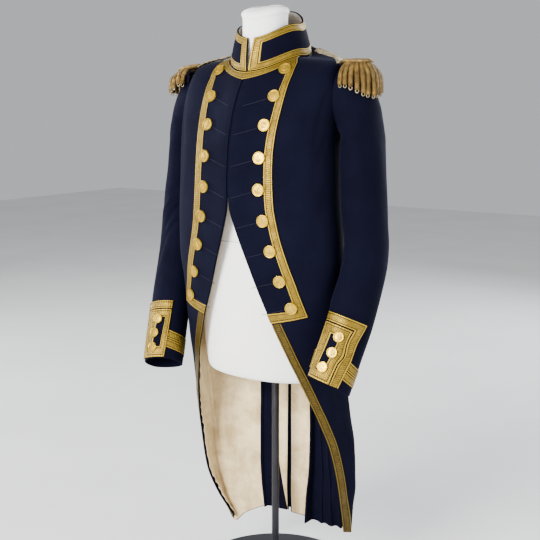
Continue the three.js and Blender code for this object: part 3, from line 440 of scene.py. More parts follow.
def angle_for(length, degrees, row):
    """Angle that a length along the section covers, near an angle of the coat."""
    step = coat_point(degrees + 0.5, row, 1) - coat_point(degrees - 0.5, row, 1)
    return length / np.linalg.norm(step, axis=-1)


def edge_angle(row):
    return angle_at(np.maximum(COAT["cut"](row), SEAM / 2), row)


def outer_angle(row):
    """Angle of the lapel's outer edge, carried on below the lapel's end."""
    return angle_at(LAPEL["outer"](np.minimum(row, LAPEL_END)), row)


def level_row(row, degrees):
    """Row of the sections for one point of a panel's row, level with neckline and lapel."""
    inward = np.maximum(1 - np.abs(np.sin(np.radians(degrees))), 0) ** NECKLINE["sharpness"]
    neckline = NECKLINE["dip"] * hump(row, 0, NECK_BAND, NECKLINE["end"]) * inward
    edge, outer, seam = edge_angle(row), outer_angle(row), COAT["seam"](row)
    across = np.where(degrees < outer, (degrees - edge) / (outer - edge),
                      (seam - degrees) / (seam - outer))
    corner = LAPEL_LIFT / ROW_HEIGHT * hump(row, *CORNER_ROWS) * np.clip(across, 0, 1)
    return row + neckline - corner


def sleeve_base(degrees, row, side):
    """A sleeve's smooth outside: the head's sections turn under the arm, the rest follow it."""
    degrees, row = np.broadcast_arrays(np.asarray(degrees, float), np.asarray(row, float))
    turn = np.radians(HEAD["turn"](row))
    half = HEAD["deep"](row) / 2
    zero = np.zeros_like(turn)
    reach = np.stack([np.sin(turn), zero, np.cos(turn)], -1)
    start = np.stack([np.where(row <= 0, ARMHOLE, UNDERARM["x"]), HEAD["midY"](row),
                      zero + UNDERARM["z"]], -1)
    head_centre = start + reach * (UNDERARM["start"] + half)[..., None]
    head_front = np.stack([zero, -HEAD["wide"](row), zero], -1)
    lean = np.radians(ARM["lean"](row))
    drop = smoothstep(row, ELBOW, SLEEVE_END) * (RIGHT_SLEEVE_DROP if side < 0 else 0)
    arm_centre = np.stack([ARM["x"](row), ARM["y"](row), ARM["z"](row) - drop], -1)
    roll = np.tan(np.radians(CUFF_ROLL)) * smoothstep(row, ELBOW, WRIST)
    arm_out = np.stack([ARM["across"](row), zero, -ARM["across"](row) * roll], -1)
    arm_front = ARM["along"](row)[..., None] * np.stack([zero, -np.cos(lean), np.sin(lean)], -1)
    is_head = (row <= HEAD_END)[..., None]
    centre = np.where(is_head, head_centre, arm_centre)
    out = np.where(is_head, reach * half[..., None], arm_out)
    front = np.where(is_head, head_front, arm_front)
    angle = np.radians(degrees)[..., None]
    return (centre + out * np.cos(angle) + front * np.sin(angle)) * np.array([side, 1, 1])


def sleeve_surface(degrees, row, side, out=0.0):
    """Point of the creased sleeve, moved out by a distance."""
    degrees, row = np.broadcast_arrays(np.asarray(degrees, float), np.asarray(row, float))
    inside = np.clip(row, 0.35, SLEEVE_END - 0.1)
    normal = surface_normal(lambda a, b: sleeve_base(a, b, side), degrees, inside, (1, 0.1), -side)
    turned = (degrees - CREASES_FROM) % 360 + CREASES_FROM
    lift = crease_depth(SLEEVE_CREASES, turned, row, side, SLEEVE_SCALE)
    lift = lift * smoothstep(row, *SLEEVE_CREASED[:2]) * (1 - smoothstep(row, *SLEEVE_CREASED[2:]))
    point = sleeve_base(degrees, row, side) + normal * (lift + out)[..., None]
    point[..., 0] = np.where(row <= 0, side * ARMHOLE, point[..., 0])
    return point


def collar_point(around, share):
    """The collar's outside, at an angle round it and a share of its height."""
    around, share = np.broadcast_arrays(np.asarray(around, float), np.asarray(share, float))
    degrees = np.where(around <= 180, around, 360 - around)
    foot = coat_point(degrees, 0, 1)
    to_middle = unit(np.stack([-foot[..., 0], COLLAR_MIDDLE - foot[..., 1], np.zeros_like(degrees)],
                              -1))
    foot = foot + to_middle * COLLAR_SEAT["inset"] + np.array([0, 0, COLLAR_SEAT["lift"]])
    opening = math.degrees(math.asin((COLLAR_TOP["opening"]
                                      / COLLAR_TOP["half"]) ** (COLLAR_TOP["square"] / 2)))
    top = section_point(COLLAR_TOP, lerp(opening, 180, degrees / 180), 1)
    bulge = COLLAR_BULGE * np.sin(math.pi * share)
    point = lerp(foot, top, share[..., None]) - to_middle * bulge[..., None]
    point[..., 0] *= np.where(around <= 180, 1, -1)
    return point


def collar_height(around):
    return np.linalg.norm(collar_point(around, 1.0) - collar_point(around, 0.0), axis=-1)


def collar_surface(around, level, side, out=0.0):
    """Point of the collar at an angle and a height above its seam, moved out by a distance."""
    around, level = np.broadcast_arrays(np.asarray(around, float), np.asarray(level, float))
    share = level / collar_height(around)
    normal = surface_normal(collar_point, np.clip(around, 1.4, 358.6), np.clip(share, 0.03, 0.97),
                            (1, 0.02), -side)
    return collar_point(around, share) + normal * np.asarray(out)[..., None]


def row_at_height(height, x):
    """Row of the coat at which the surface is at a height, at a distance from the middle."""
    above, below = 0.0, float(HEM)
    for _ in range(30):
        middle = (above + below) / 2
        if coat_point(angle_at(x, middle), middle, 1)[2] > height:
            above = middle
        else:
            below = middle
    return (above + below) / 2


# ---- Making meshes ------------------------------------------------------------------------------
def deselect():
    if bpy.context.object and bpy.context.object.mode != "OBJECT":
        bpy.ops.object.mode_set(mode="OBJECT")
    bpy.ops.object.select_all(action="DESELECT")


def activate(piece):
    deselect()
    piece.select_set(True)
    bpy.context.view_layer.objects.active = piece


def apply_modifier(piece, kind, **settings):
    activate(piece)
    modifier = piece.modifiers.new(kind.title(), kind)
    for name, value in settings.items():
        setattr(modifier, name, value)
    bpy.ops.object.modifier_apply(modifier=modifier.name)


def smooth(degrees):
    """Shades the active piece smooth, but for edges sharper than an angle."""
    bpy.ops.object.shade_smooth_by_angle(angle=math.radians(degrees))


def finish_piece(piece, name, slot, material, nodes=()):
    """Names a piece, gives it its material and slot, and sets it on the coat."""
    piece.name = name
    piece.data.name = name
    piece.data.materials.clear()
    piece.data.materials.append(material)
    if nodes:
        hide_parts(*nodes)
    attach(piece, "root")
    return piece


def grid_piece(points, uv):
    """A grid primitive laid on a grid of points in mm, with its UV map in mm too."""
    rows, columns = points.shape[:2]
    deselect()
    bpy.ops.mesh.primitive_grid_add(x_subdivisions=columns - 1, y_subdivisions=rows - 1, size=1)
    piece = bpy.context.object
    piece.data.vertices.foreach_set("co", (points * MM).astype(np.float32).ravel())
    loops = np.zeros(len(piece.data.loops), np.int32)
    piece.data.loops.foreach_get("vertex_index", loops)
    layer = piece.data.uv_layers[0]
    layer.name = "cloth"
    layer.data.foreach_set("uv", uv.reshape(-1, 2)[loops].astype(np.float32).ravel())
    piece.data.update()
    return piece


def grid_uv(points):
    """Distances across and down a grid of points, in mm, as its UV map."""
    across = np.cumsum(np.linalg.norm(np.diff(points, axis=1), axis=-1), axis=1)
    down = np.cumsum(np.linalg.norm(np.diff(points, axis=0), axis=-1), axis=0)
    u = np.concatenate([np.zeros((len(points), 1)), across], 1)
    v = np.concatenate([np.zeros((1, points.shape[1])), down], 0)
    return np.stack([u - u.mean(1, keepdims=True), v], -1)


def outward(points):
    """The grid with its columns turned round if its faces would look inward."""
    middle = points.reshape(-1, 3).mean(0)
    across = points[:-1, 1:] - points[:-1, :-1]
    down = points[1:, :-1] - points[:-1, :-1]
    facing = (np.cross(across, down) * (points[:-1, :-1] - middle)).sum()
    return points if facing > 0 else points[:, ::-1]


def cloth_piece(name, points, wall, slot, material, nodes=()):
    """A sheet of cloth with a wall, from the points of its outer face."""
    laid = outward(points)
    piece = grid_piece(laid, grid_uv(laid))
    apply_modifier(piece, "SOLIDIFY", thickness=wall * MM, offset=-1)
    smooth(40)
    finish_piece(piece, name, slot, material, nodes)
    return piece


# A lace's cross section: share of its width and height of its cords.
LACE_PROFILE = ((0, 0.0), (0.03, 0.34), (0.075, 0.5), (0.12, 0.34), (0.15, 0.1), (0.2, 0.24),
                (0.35, 0.3),
                (0.5, 0.34), (0.65, 0.3), (0.8, 0.24), (0.85, 0.1), (0.88, 0.34), (0.925, 0.5),
                (0.97, 0.34), (1, 0.0))
LACE_RISE = 0.8  # mm that a height of 1 stands for
LACE_CLEAR = 0.05


def lace_piece(name, surface, side, outer, inner, lift, material, nodes=(), wall=LACE * 0.5,
               slot="gold_lace"):
    """A woven metal lace between two lines given as (across, down), with corded edges."""
    shares = np.array([share for share, _ in LACE_PROFILE])
    rise = np.array([height for _, height in LACE_PROFILE]) * LACE_RISE
    lines = lerp(outer[:, None, :], inner[:, None, :], shares[None, :, None])
    x, y = lines[..., 0], lines[..., 1]
    points = surface(x, y, side, lift + wall + LACE_CLEAR + rise[None, :])
    middle = points[:, len(shares) // 2]
    run = np.concatenate([[0], np.cumsum(np.linalg.norm(np.diff(middle, axis=0), axis=-1))])
    uv = np.stack(np.broadcast_arrays(run[:, None], shares[None, :]), -1)
    across = points[:-1, 1:] - points[:-1, :-1]
    down = points[1:, :-1] - points[:-1, :-1]
    out = surface(x, y, side, lift + 5.0) - surface(x, y, side, lift)
    if (np.cross(across, down) * out[:-1, :-1]).sum() < 0:
        points, uv = points[:, ::-1], uv[:, ::-1]
    piece = grid_piece(points, uv)
    apply_modifier(piece, "SOLIDIFY", thickness=wall * MM, offset=-1)
    smooth(60)
    return finish_piece(piece, name, slot, material, nodes)


def path_between(corners, steps):
    """Points along straight runs between corners; steps tells how many each run has."""
    runs = [np.linspace(a, b, n, endpoint=False) for a, b,
            n in zip(corners[:-1], corners[1:], steps)]
    return np.concatenate([*runs, np.array([corners[-1]], float)])


def ring_faces(count, sides, closed=False):
    """Faces between rings that follow one another, each with as many points as it has sides."""
    faces = []
    for i in range(count if closed else count - 1):
        j = (i + 1) % count
        for k in range(sides):
            n = (k + 1) % sides
            faces.append((i * sides + k, i * sides + n, j * sides + n, j * sides + k))
    return faces


def end_faces(count, sides):
    """A face on the first and one on the last of a row of rings."""
    return [tuple(range(sides - 1, -1, -1)), tuple((count - 1) * sides + k for k in range(sides))]


def ring_shape(rings, bottom, top):
    """Points and faces of a closed shape of rings, with a point at each end."""
    count, sides = len(rings), len(rings[0])
    faces = ring_faces(count, sides)
    last, under, over = (count - 1) * sides, count * sides, count * sides + 1
    for k in range(sides):
        n = (k + 1) % sides
        faces += [(under, n, k), (over, last + k, last + n)]
    return np.concatenate([*rings, [bottom, top]]), faces


def tube(path, radius, sides, twist=0.0, ridges=0, depth=0.0, closed=False):
    """Points and faces of a tube along a path; ridges wind round it like coiled wire."""
    path = np.asarray(path, float)
    ahead = np.roll(path, -1, 0) - np.roll(path, 1, 0)
    if not closed:
        ahead[0], ahead[-1] = path[1] - path[0], path[-1] - path[-2]
    ahead = unit(ahead)
    across = unit(np.cross(ahead, np.where(np.abs(ahead[:, 2:3]) > 0.9, [[1, 0, 0]], [[0, 0, 1]])))
    up = np.cross(ahead, across)
    run = np.concatenate([[0], np.cumsum(np.linalg.norm(np.diff(path, axis=0), axis=-1))])
    turn = np.linspace(0, 2 * math.pi, sides, endpoint=False)[None, :]
    wave = np.cos(ridges * turn - twist * run[:, None]) if twist else 0 * turn
    size = np.broadcast_to(np.asarray(radius, float).reshape(-1, 1), (len(path), 1)) + depth * wave
    ring = (across[:, None] * np.cos(turn)[..., None] + up[:, None]
            * np.sin(turn)[..., None]) * size[..., None]
    points = (path[:, None] + ring).reshape(-1, 3)
    return points, ring_faces(len(path), sides,
                              closed) + ([] if closed else end_faces(len(path), sides))


def joined(parts):
    """One list of points and faces from several."""
    points, faces, start = [], [], 0
    for part_points, part_faces in parts:
        points.append(part_points)
        faces += [tuple(start + i for i in face) for face in part_faces]
        start += len(part_points)
    return np.concatenate(points), faces


def closed_shell(name, points, faces):
    """An object from points in mm and faces, with all its faces pointing outwards."""
    mesh = bpy.data.meshes.new(name)
    mesh.from_pydata((points * MM).tolist(), [], faces)
    mesh.update()
    piece = bpy.data.objects.new(name, mesh)
    bpy.context.scene.collection.objects.link(piece)
    activate(piece)
    bpy.ops.object.mode_set(mode="EDIT")
    bpy.ops.mesh.select_all(action="SELECT")
    bpy.ops.mesh.normals_make_consistent(inside=False)
    bpy.ops.object.mode_set(mode="OBJECT")
    return piece


def mesh_piece(name, points, faces, slot, material, nodes=()):
    piece = closed_shell(name, points, faces)
    smooth(50)
    return finish_piece(piece, name, slot, material, nodes)


# ---- Materials ----------------------------------------------------------------------------------
class Shade:
    """A small helper that adds nodes to a material and links them."""

    def __init__(self, name, **sockets):
        self.material = bpy.data.materials.new(name)
        self.material.use_nodes = True
        self.nodes = self.material.node_tree.nodes
        self.links = self.material.node_tree.links
        self.shader = self.nodes["Principled BSDF"]
        for socket, value in sockets.items():
            self.shader.inputs[socket.replace("_", " ")].default_value = value

    def add(self, kind, inputs=(), **settings):
        node = self.nodes.new("ShaderNode" + kind)
        for key, value in settings.items():
            setattr(node, key, value)
        for key, value in dict(inputs).items():
            if isinstance(value, bpy.types.NodeSocket):
                self.links.new(value, node.inputs[key])
            else:
                node.inputs[key].default_value = value
        return node

    def place(self, scale=(1, 1, 1), uv=False):
        """Coordinates on the object, or on its UV map in mm, scaled."""
        if uv:
            source = self.add("UVMap", uv_map="cloth").outputs[0]
        else:
            source = self.add("TexCoord").outputs["Object"]
        return self.add("Mapping", {"Vector": source, "Scale": scale}).outputs[0]

    def noise(self, vector, scale, detail=4.0, roughness=0.55):
        return self.add("TexNoise",
                        {"Vector": vector, "Scale": scale, "Detail": detail,
                         "Roughness": roughness}).outputs[0]

    def wave(self, vector, scale, distortion=0.0, direction="X"):
        return self.add("TexWave", {"Vector": vector, "Scale": scale, "Distortion": distortion},
                        bands_direction=direction).outputs["Fac"]

    def ramp(self, factor, *stops):
        node = self.add("ValToRGB", {"Fac": factor})
        elements = node.color_ramp.elements
        elements[1].position, elements[0].position = stops[-1][0], stops[0][0]
        elements[1].color, elements[0].color = (*stops[-1][1], 1), (*stops[0][1], 1)
        for position, colour in stops[1:-1]:
            elements.new(position).color = (*colour, 1)
        return node.outputs[0]

    def mix(self, factor, a, b, blend="MIX"):
        node = self.nodes.new("ShaderNodeMix")
        node.data_type = "RGBA"
        node.blend_type = blend
        for index, value in ((0, factor), (6, a), (7, b)):
            if isinstance(value, bpy.types.NodeSocket):
                self.links.new(value, node.inputs[index])
            else:
                node.inputs[index].default_value = value if index == 0 else (*value, 1)
        return node.outputs[2]

    def maths(self, operation, a, b):
        return self.add("Math", {0: a, 1: b}, operation=operation).outputs[0]

    def finish(self, colour=None, roughness=None, bumps=()):
        """Links colour and roughness, and lays the bumps (height, strength, distance) in turn."""
        if colour is not None:
            self.links.new(colour, self.shader.inputs["Base Color"])
        if roughness is not None:
            self.links.new(roughness, self.shader.inputs["Roughness"])
        normal = None
        for height, strength, distance in bumps:
            inputs = {"Height": height, "Strength": strength, "Distance": distance}
            if normal is not None:
                inputs["Normal"] = normal
            normal = self.add("Bump", inputs).outputs[0]
        if normal is not None:
            self.links.new(normal, self.shader.inputs["Normal"])
        return self.material


def grey(value):
    return (value, value, value)


def navy_cloth(colours):
    """Fulled wool broadcloth: very dark blue with a short nap that catches the light."""
    s = Shade("navy_broadcloth", Roughness=0.86, Sheen_Weight=0.05, Sheen_Roughness=0.4,
              Sheen_Tint=(0.3, 0.33, 0.6, 1), Specular_IOR_Level=0.05)
    deep, light = np.array(colours.navy), np.array(colours.navy) * 1.9
    place = s.place()
    cloud = s.noise(place, 9, 5, 0.6)
    nap = s.noise(place, 420, 3, 0.7)
    base = s.ramp(cloud, (0.3, deep), (0.72, light))
    colour = s.mix(0.22, base, s.ramp(nap, (0.35, deep * 0.6), (0.65, light * 1.5)))
    flat = s.place(uv=True)
    weave = s.maths("MULTIPLY", s.wave(flat, 0.9, 0.6), s.wave(flat, 0.9, 0.6, "Y"))
    rough = s.ramp(cloud, (0.3, grey(0.92)), (0.7, grey(0.8)))
    return s.finish(colour, rough,
                    ((weave, 0.1, 0.0003), (nap, 0.35, 0.0006),
                     (s.noise(place, 34, 3), 0.18, 0.004)))


def lining_cloth(name, colour, brown_blots):
    """Worn twill lining, stained here and there."""
    s = Shade(name, Roughness=0.78, Sheen_Weight=0.15, Sheen_Roughness=0.5, Specular_IOR_Level=0.25)
    place = s.place()
    blot = s.noise(place, 11, 6, 0.62)
    streak = s.noise(s.place((9, 9, 1.6)), 6, 4, 0.6)
    base = s.ramp(blot, (0.4, brown_blots), (0.56, colour))
    tone = s.mix(0.4, base, s.ramp(streak, (0.3, np.array(colour) * 0.62), (0.66, colour)))
    twill = s.wave(s.place(uv=True), 0.8, 0.8, "DIAGONAL")
    return s.finish(tone, None,
                    ((twill, 0.12, 0.0004), (s.noise(place, 60, 4), 0.3, 0.003),
                     (streak, 0.25, 0.006)))


LACE_RIB = 4.2  # mm from one cross rib to the next
CORD_BANDS = ((0.0, 0.9), (0.16, 0.95), (0.22, 0.6), (0.28, 1.0), (0.5, 0.85), (0.58, 0.05),
              (0.68, 0.05), (0.75, 1.0),
              (0.93, 1.0), (1.0, 0.25))


def gold_lace(name, tone):
    """Woven metal-thread lace: cross ribs, corded edges and a worn vellum pattern."""
    s = Shade(name, Metallic=0.7, Roughness=0.42)
    flat = s.place(uv=True)
    gold, dark = np.array(tone), np.array(tone) * np.array([0.4, 0.34, 0.24])
    bright = np.minimum(gold * 1.5, 1)
    split = s.add("SeparateXYZ", {"Vector": flat})
    run, share = split.outputs[0], split.outputs[1]
    rib = s.maths("SINE", s.maths("MULTIPLY", run, 2 * math.pi / LACE_RIB), 0)
    ribs = s.maths("ADD", s.maths("MULTIPLY", rib, 0.5), 0.5)
    edge = s.maths("ABSOLUTE", s.maths("SUBTRACT", share, 0.5), 0)
    across = s.maths("MULTIPLY", edge, 2.0)
    lines = s.ramp(across, *((position, grey(value)) for position, value in CORD_BANDS))
    wear = s.noise(s.place(), 38, 5, 0.65)
    blocks = s.noise(s.place((0.28, 2.0, 1), True), 1.0, 3, 0.7)
    base = s.ramp(wear, (0.3, dark), (0.5, gold), (0.74, bright))
    worn = s.mix(0.5, base, s.ramp(blocks, (0.35, dark), (0.62, bright)))
    ribbed = s.mix(0.62, worn, s.ramp(ribs, (0.25, grey(0.3)), (0.62, grey(1.0))), "MULTIPLY")
    corded = s.mix(s.ramp(across, (0.68, grey(0.0)), (0.74, grey(1.0))), ribbed, bright * 0.9)
    lined = s.mix(s.maths("SUBTRACT", 1.0, lines), corded, dark * 0.25)
    rough = s.ramp(wear, (0.3, grey(0.62)), (0.7, grey(0.36)))
    return s.finish(lined, rough,
                    ((ribs, 0.5, 0.0006), (lines, 0.6, 0.0008), (blocks, 0.3, 0.0004)))


def gilt_metal(colours):
    """Gilt brass worn pale on its high places."""
    s = Shade("gilt_buttons", Metallic=0.9, Roughness=0.3)
    gilt = np.array(colours.gilt)
    place = s.place()
    wear = s.noise(place, 160, 5, 0.65)
    colour = s.ramp(wear, (0.28, gilt * 0.55), (0.5, gilt), (0.75, np.minimum(gilt * 1.25, 1)))
    return s.finish(colour, s.ramp(wear, (0.3, grey(0.5)), (0.7, grey(0.26))),
                    ((s.noise(place, 900, 2), 0.25, 0.0003),))


def bullion(name, colour, shine):
    """Coiled metal thread, tarnished between the turns."""
    s = Shade(name, Metallic=shine, Roughness=0.45)
    tone = np.array(colour)
    place = s.place()
    tarnish = s.noise(place, 90, 5, 0.7)
    brown_blots = s.noise(place, 22, 3, 0.6)
    base = s.ramp(tarnish, (0.36, tone * 0.22), (0.5, tone * 0.8),
                  (0.66, np.minimum(tone * 2.1, 1)))
    colour = s.mix(0.35, base,
                   s.ramp(brown_blots, (0.35, tone * np.array([0.5, 0.38, 0.25])), (0.65, tone * 1.3)))
    threads = s.wave(s.place((1, 1, 3)), 240, 2.0, "Z")
    return s.finish(colour, s.ramp(tarnish, (0.3, grey(0.6)), (0.7, grey(0.34))),
                    ((threads, 0.5, 0.0006), (tarnish, 0.3, 0.0008)))


WAIST_SEAM = 767  # height of the form's waist seam
SEAM_HALF = 0.0009  # half its width in metres


def form_cover(colours):
    """Smooth white cover stretched on the form."""
    s = Shade("white_form_cover", Roughness=0.62, Sheen_Weight=0.1, Specular_IOR_Level=0.3)
    white = np.array(colours.white)
    place = s.place()
    soil = s.noise(place, 5, 4, 0.6)
    colour = s.ramp(soil, (0.25, white * np.array([0.93, 0.915, 0.88])), (0.55, white))
    height = s.add("SeparateXYZ", {"Vector": place}).outputs[2]
    away = s.maths("ABSOLUTE", s.maths("SUBTRACT", height, WAIST_SEAM * MM), 0)
    seam = s.maths("LESS_THAN", away, SEAM_HALF)
    colour = s.mix(seam, colour, white * 0.55)
    knit = s.wave(place, 380, 0.8, "Z")
    return s.finish(colour, s.ramp(soil, (0.3, grey(0.7)), (0.7, grey(0.55))),
                    ((knit, 0.05, 0.0003), (s.noise(place, 12, 2), 0.08, 0.004)))


def black_iron(colours):
    """Satin black paint with a fine orange peel and rubbed spots."""
    s = Shade("black_stand", Metallic=0.35, Roughness=0.42)
    black = np.array(colours.iron)
    place = s.place()
    rub = s.noise(place, 30, 5, 0.6)
    colour = s.ramp(rub, (0.4, black), (0.8, black * 2.2))
    return s.finish(colour, s.ramp(rub, (0.3, grey(0.38)), (0.7, grey(0.5))),
                    ((s.noise(place, 500, 2), 0.15, 0.0002),))


def thread(name, colour):
    """Twisted silk thread of the buttonholes and seams."""
    s = Shade(name, Roughness=0.8, Specular_IOR_Level=0.15)
    tone = np.array(colour)
    twist = s.wave(s.place(), 700, 1.0, "DIAGONAL")
    return s.finish(s.ramp(twist, (0.2, tone * 0.6), (0.8, tone)), None, ((twist, 0.4, 0.0003),))


MATERIALS = {}


def material(name):
    """The named material, made on its first use."""
    colours = bpy.context.scene.tail_coat_colours
    makers = {
        "navy": lambda: navy_cloth(colours),
        "cream": lambda: lining_cloth("cream_lining", colours.cream,
                                      np.array(colours.cream) * np.array([0.5, 0.4, 0.28])),
        "grey": lambda: lining_cloth("collar_lining", colours.grey,
                                     np.array(colours.grey) * np.array([0.62, 0.5, 0.42])),
        "lace": lambda: gold_lace("gold_lace", colours.gold),
        # A darker copy of the gold lace for the skirts' front edges: partly wear, partly painted
        # shade, as these edges get less light.
        "worn_shaded_lace": lambda: gold_lace("worn_shaded_lace", np.array(colours.gold) * 0.36),
        "gilt": lambda: gilt_metal(colours),
        "bullion": lambda: bullion("gold_bullion", colours.bullion, 0.55),
        "rim": lambda: bullion("gold_rim", np.array(colours.bullion) * np.array([1.6, 1.8, 3.0]),
                               0.5),
        "silver": lambda: bullion("pale_strap", colours.silver, 0.45),
        "form": lambda: form_cover(colours),
        "iron": lambda: black_iron(colours),
        "seam": lambda: thread("cover_thread", (0.45, 0.43, 0.38)),
        "silk": lambda: thread("navy_silk", (0.012, 0.013, 0.026)),
    }
    if name not in MATERIALS:
        MATERIALS[name] = makers[name]()
    return MATERIALS[name]


# ---- Panels of the body -------------------------------------------------------------------------
PUCKERS = {"near": 6, "far": 26, "start": 13.6, "full": 15.2, "height": 4.2}  # degrees, rows and mm


def puckers(degrees, row):
    """Fine slanting puckers where the lining is sewn to the skirt's front edge."""
    inside = degrees - edge_angle(row)
    inner = smoothstep(inside, PUCKERS["near"], PUCKERS["far"])
    fade = (1 - inner) * smoothstep(row, PUCKERS["start"], PUCKERS["full"])
    uneven = 0.6 + 0.4 * np.sin(row * 5.1) * np.sin(row * 1.7 + 1)
    slant = math.pi * (row * 3.4 + inside * 0.045 + 0.3 * np.sin(row * 2.3))
    return PUCKERS["height"] * fade * uneven * (0.12 - np.abs(np.cos(slant)) ** 0.6)


def front_points(side, out, rows, shares, extra=(), waves=None):
    row = rows[:, None]
    degrees = lerp(edge_angle(row), COAT["seam"](row) - angle_for(SEAM / 2, COAT["seam"](row), row),
                   shares[None, :])
    lift = out if waves is None else out + waves(degrees, row)
    return coat_surface(degrees, level_row(row, degrees), side, lift, extra)


def back_points(side, out, rows, shares, extra=()):
    row = rows[:, None]
    seam = COAT["seam"](row)
    vent = SEAM / 2 + VENT_SPREAD * smoothstep(row, LAPEL_END, HEM)
    degrees = lerp(seam + angle_for(SEAM / 2, seam, row), 180 - angle_at(vent, row),
                   shares[None, :])
    return coat_surface(degrees, row, side, out, extra)


def armhole_cutter(side):
    """The sleeve head's outside, a little larger, as a closed shape."""
    rows = np.linspace(0, 5, 41)[:, None]
    angles = np.linspace(0, 360, 96, endpoint=False)[None, :]
    rings = sleeve_surface(angles, rows, side, ARMHOLE_GAP)
    rings[0, :, 0] = side * (ARMHOLE - SEAM)
    count, sides = rings.shape[:2]
    return closed_shell("armhole", rings.reshape(-1, 3),
                        ring_faces(count, sides) + end_faces(count, sides))


def cut_armhole(pieces, side):
    cutter = armhole_cutter(side)
    for piece in pieces:
        apply_modifier(piece, "BOOLEAN", operation="DIFFERENCE", object=cutter, solver="EXACT")
    bpy.data.objects.remove(cutter)


def build_fronts():
    rows = np.concatenate([np.linspace(0, 4, 41)[:-1], np.linspace(4, HEM, 129)])
    for side, hand in SIDES:
        front = cloth_piece(f"front_cloth_{hand}",
                            front_points(side, 0, rows, np.linspace(0, 1, 73)), CLOTH,
                            "navy_cloth", material("navy"), [f"front_{hand}"])
        back = cloth_piece(f"back_cloth_{hand}", back_points(side, 0, rows, np.linspace(0, 1, 33)),
                           CLOTH,
                           "navy_cloth", material("navy"), [f"back_{hand}"])
        cut_armhole([front, back], side)


def build_linings():
    rows = np.linspace(LINING_TOP, HEM - 0.03, 240)
    for side, hand in SIDES:
        face = -CLOTH - LINING_GAP["front"]
        cloth_piece(f"front_lining_{hand}",
                    front_points(side, face, rows, np.linspace(0.016, 0.985, 61), LINING_CREASES,
                                 puckers),
                    LINING, "cream_lining", material("cream"), [f"lining_front_{hand}"])
        face = -CLOTH - LINING_GAP["back"]
        cloth_piece(f"back_lining_{hand}",
                    back_points(side, face, rows, np.linspace(0.03, 0.96, 25), LINING_CREASES),
                    LINING, "cream_lining", material("cream"), [f"lining_back_{hand}"])


def lapel_surface(share, row, side, out=0.0):
    """Point of a lapel at a share of its width and a row."""
    degrees = lerp(edge_angle(row), outer_angle(row), share)
    return coat_surface(degrees, level_row(row, degrees), side, out)


def lace_share(row):
    """Share of the lapel's width at which the lace on its outer edge ends."""
    outer = outer_angle(row)
    return 1 - angle_for(LAPEL_LACE, outer - 4, row) / (outer - edge_angle(row))


def build_lapels():
    rows = np.concatenate([np.linspace(0, 2, 25)[:-1], np.linspace(2, LAPEL_END, 89)])[:, None]
    shares = np.linspace(0.012, 1, 33)[None, :]
    for side, hand in SIDES:
        cloth_piece(f"lapel_cloth_{hand}", lapel_surface(shares, rows, side, ON_CLOTH), CLOTH,
                    "navy_cloth",
                    material("navy"), [f"lapel_{hand}"])
        neck, side_run, bottom = 24, 120, 24
        t = np.linspace(0, 1, neck, endpoint=False)
        inner_top, inner_end = float(lace_share(NECK_BAND)), float(lace_share(LAPEL_BAND))
        down = np.linspace(0, 1, side_run, endpoint=False)
        inner_rows = lerp(NECK_BAND, LAPEL_BAND, down)
        back = 1 - np.linspace(0, 1, bottom)
        outer = np.concatenate([np.stack([t, 0 * t], -1),
                                np.stack([0 * down + 1, LAPEL_END * down], -1),
                                np.stack([back, 0 * back + LAPEL_END], -1)])
        inner = np.concatenate([np.stack([t * inner_top, 0 * t + NECK_BAND], -1),
                                np.stack([lace_share(inner_rows), inner_rows], -1),
                                np.stack([back * inner_end, 0 * back + LAPEL_BAND], -1)])
        lace_piece(f"lapel_lace_band_{hand}", lapel_surface, side, outer, inner, ON_LAPEL,
                   material("lace"),
                   [f"lapel_lace_{hand}"])


def skirt_surface(length, row, side, out=0.0):
    """Point of a front at a length back from its edge and a row."""
    degrees = edge_angle(row) + angle_for(length, edge_angle(row), row)
    return coat_surface(degrees, level_row(row, degrees), side, out)


def build_skirt_lace():
    rows = np.linspace(LAPEL_END + 0.04, HEM, 110)
    outer = np.stack([0 * rows, rows], -1)
    inner = np.stack([0 * rows + SKIRT_LACE, rows], -1)
    for side, hand in SIDES:
        # The skirts' lace takes the darker copy of the gold lace, partly worn and partly painted
        # shade.
        lace_piece(f"skirt_lace_band_{hand}", skirt_surface, side, outer, inner, SKIRT_LACE_LIFT,
                   material("worn_shaded_lace"),
                   [f"skirt_lace_{hand}"])


# ---- Sleeves and cuffs --------------------------------------------------------------------------
def build_sleeves():
    rows = np.concatenate([np.linspace(0, 6, 49)[:-1], np.linspace(6, SLEEVE_END, 105)])[:, None]
    upper = np.linspace(BACK_SEAM - 360 + SEAM_DEGREES, FRONT_SEAM - SEAM_DEGREES, 81)[None, :]
    under = np.linspace(FRONT_SEAM + SEAM_DEGREES, BACK_SEAM - SEAM_DEGREES, 41)[None, :]
    for side, hand in SIDES:
        near, far = SLEEVE_HEM[hand]
        for name, angles in (("upper_sleeve", upper), ("under_sleeve", under)):
            hem = lerp(far, near, 0.5 + 0.5 * np.sin(np.radians(angles)))
            points = sleeve_surface(angles,
                                    np.where(rows > WRIST, lerp(WRIST, hem, rows - WRIST), rows),
                                    side)
            cloth_piece(f"{name}_cloth_{hand}", points, CLOTH, "navy_cloth", material("navy"),
                        [f"{name}_{hand}"])


def flap_surface(degrees, down, side, out=0.0):
    """Point of the cuff's flap at degrees round the sleeve and a share of the flap's height."""
    top, low = FLAP_ROWS["L" if side > 0 else "R"]
    return sleeve_surface(degrees, lerp(top, low, down), side, out)


def frame_line(left, right, top, low, closed):
    """A line up a frame's left side, over its top and down its right side, given as curves."""
    up = np.linspace(low, top, 46, endpoint=False)
    over = np.linspace(0, 1, 34, endpoint=False)
    down = np.linspace(top, low, 46, endpoint=not closed)
    runs = [np.stack([left(up), up], -1)] if closed else []
    runs += [np.stack([lerp(left(top), right(top), over), 0 * over + top], -1),
             np.stack([right(down), down], -1)]
    if closed:
        back = np.linspace(0, 1, 25)
        runs.append(np.stack([lerp(right(low), left(low), back), 0 * back + low], -1))
    return np.concatenate(runs)


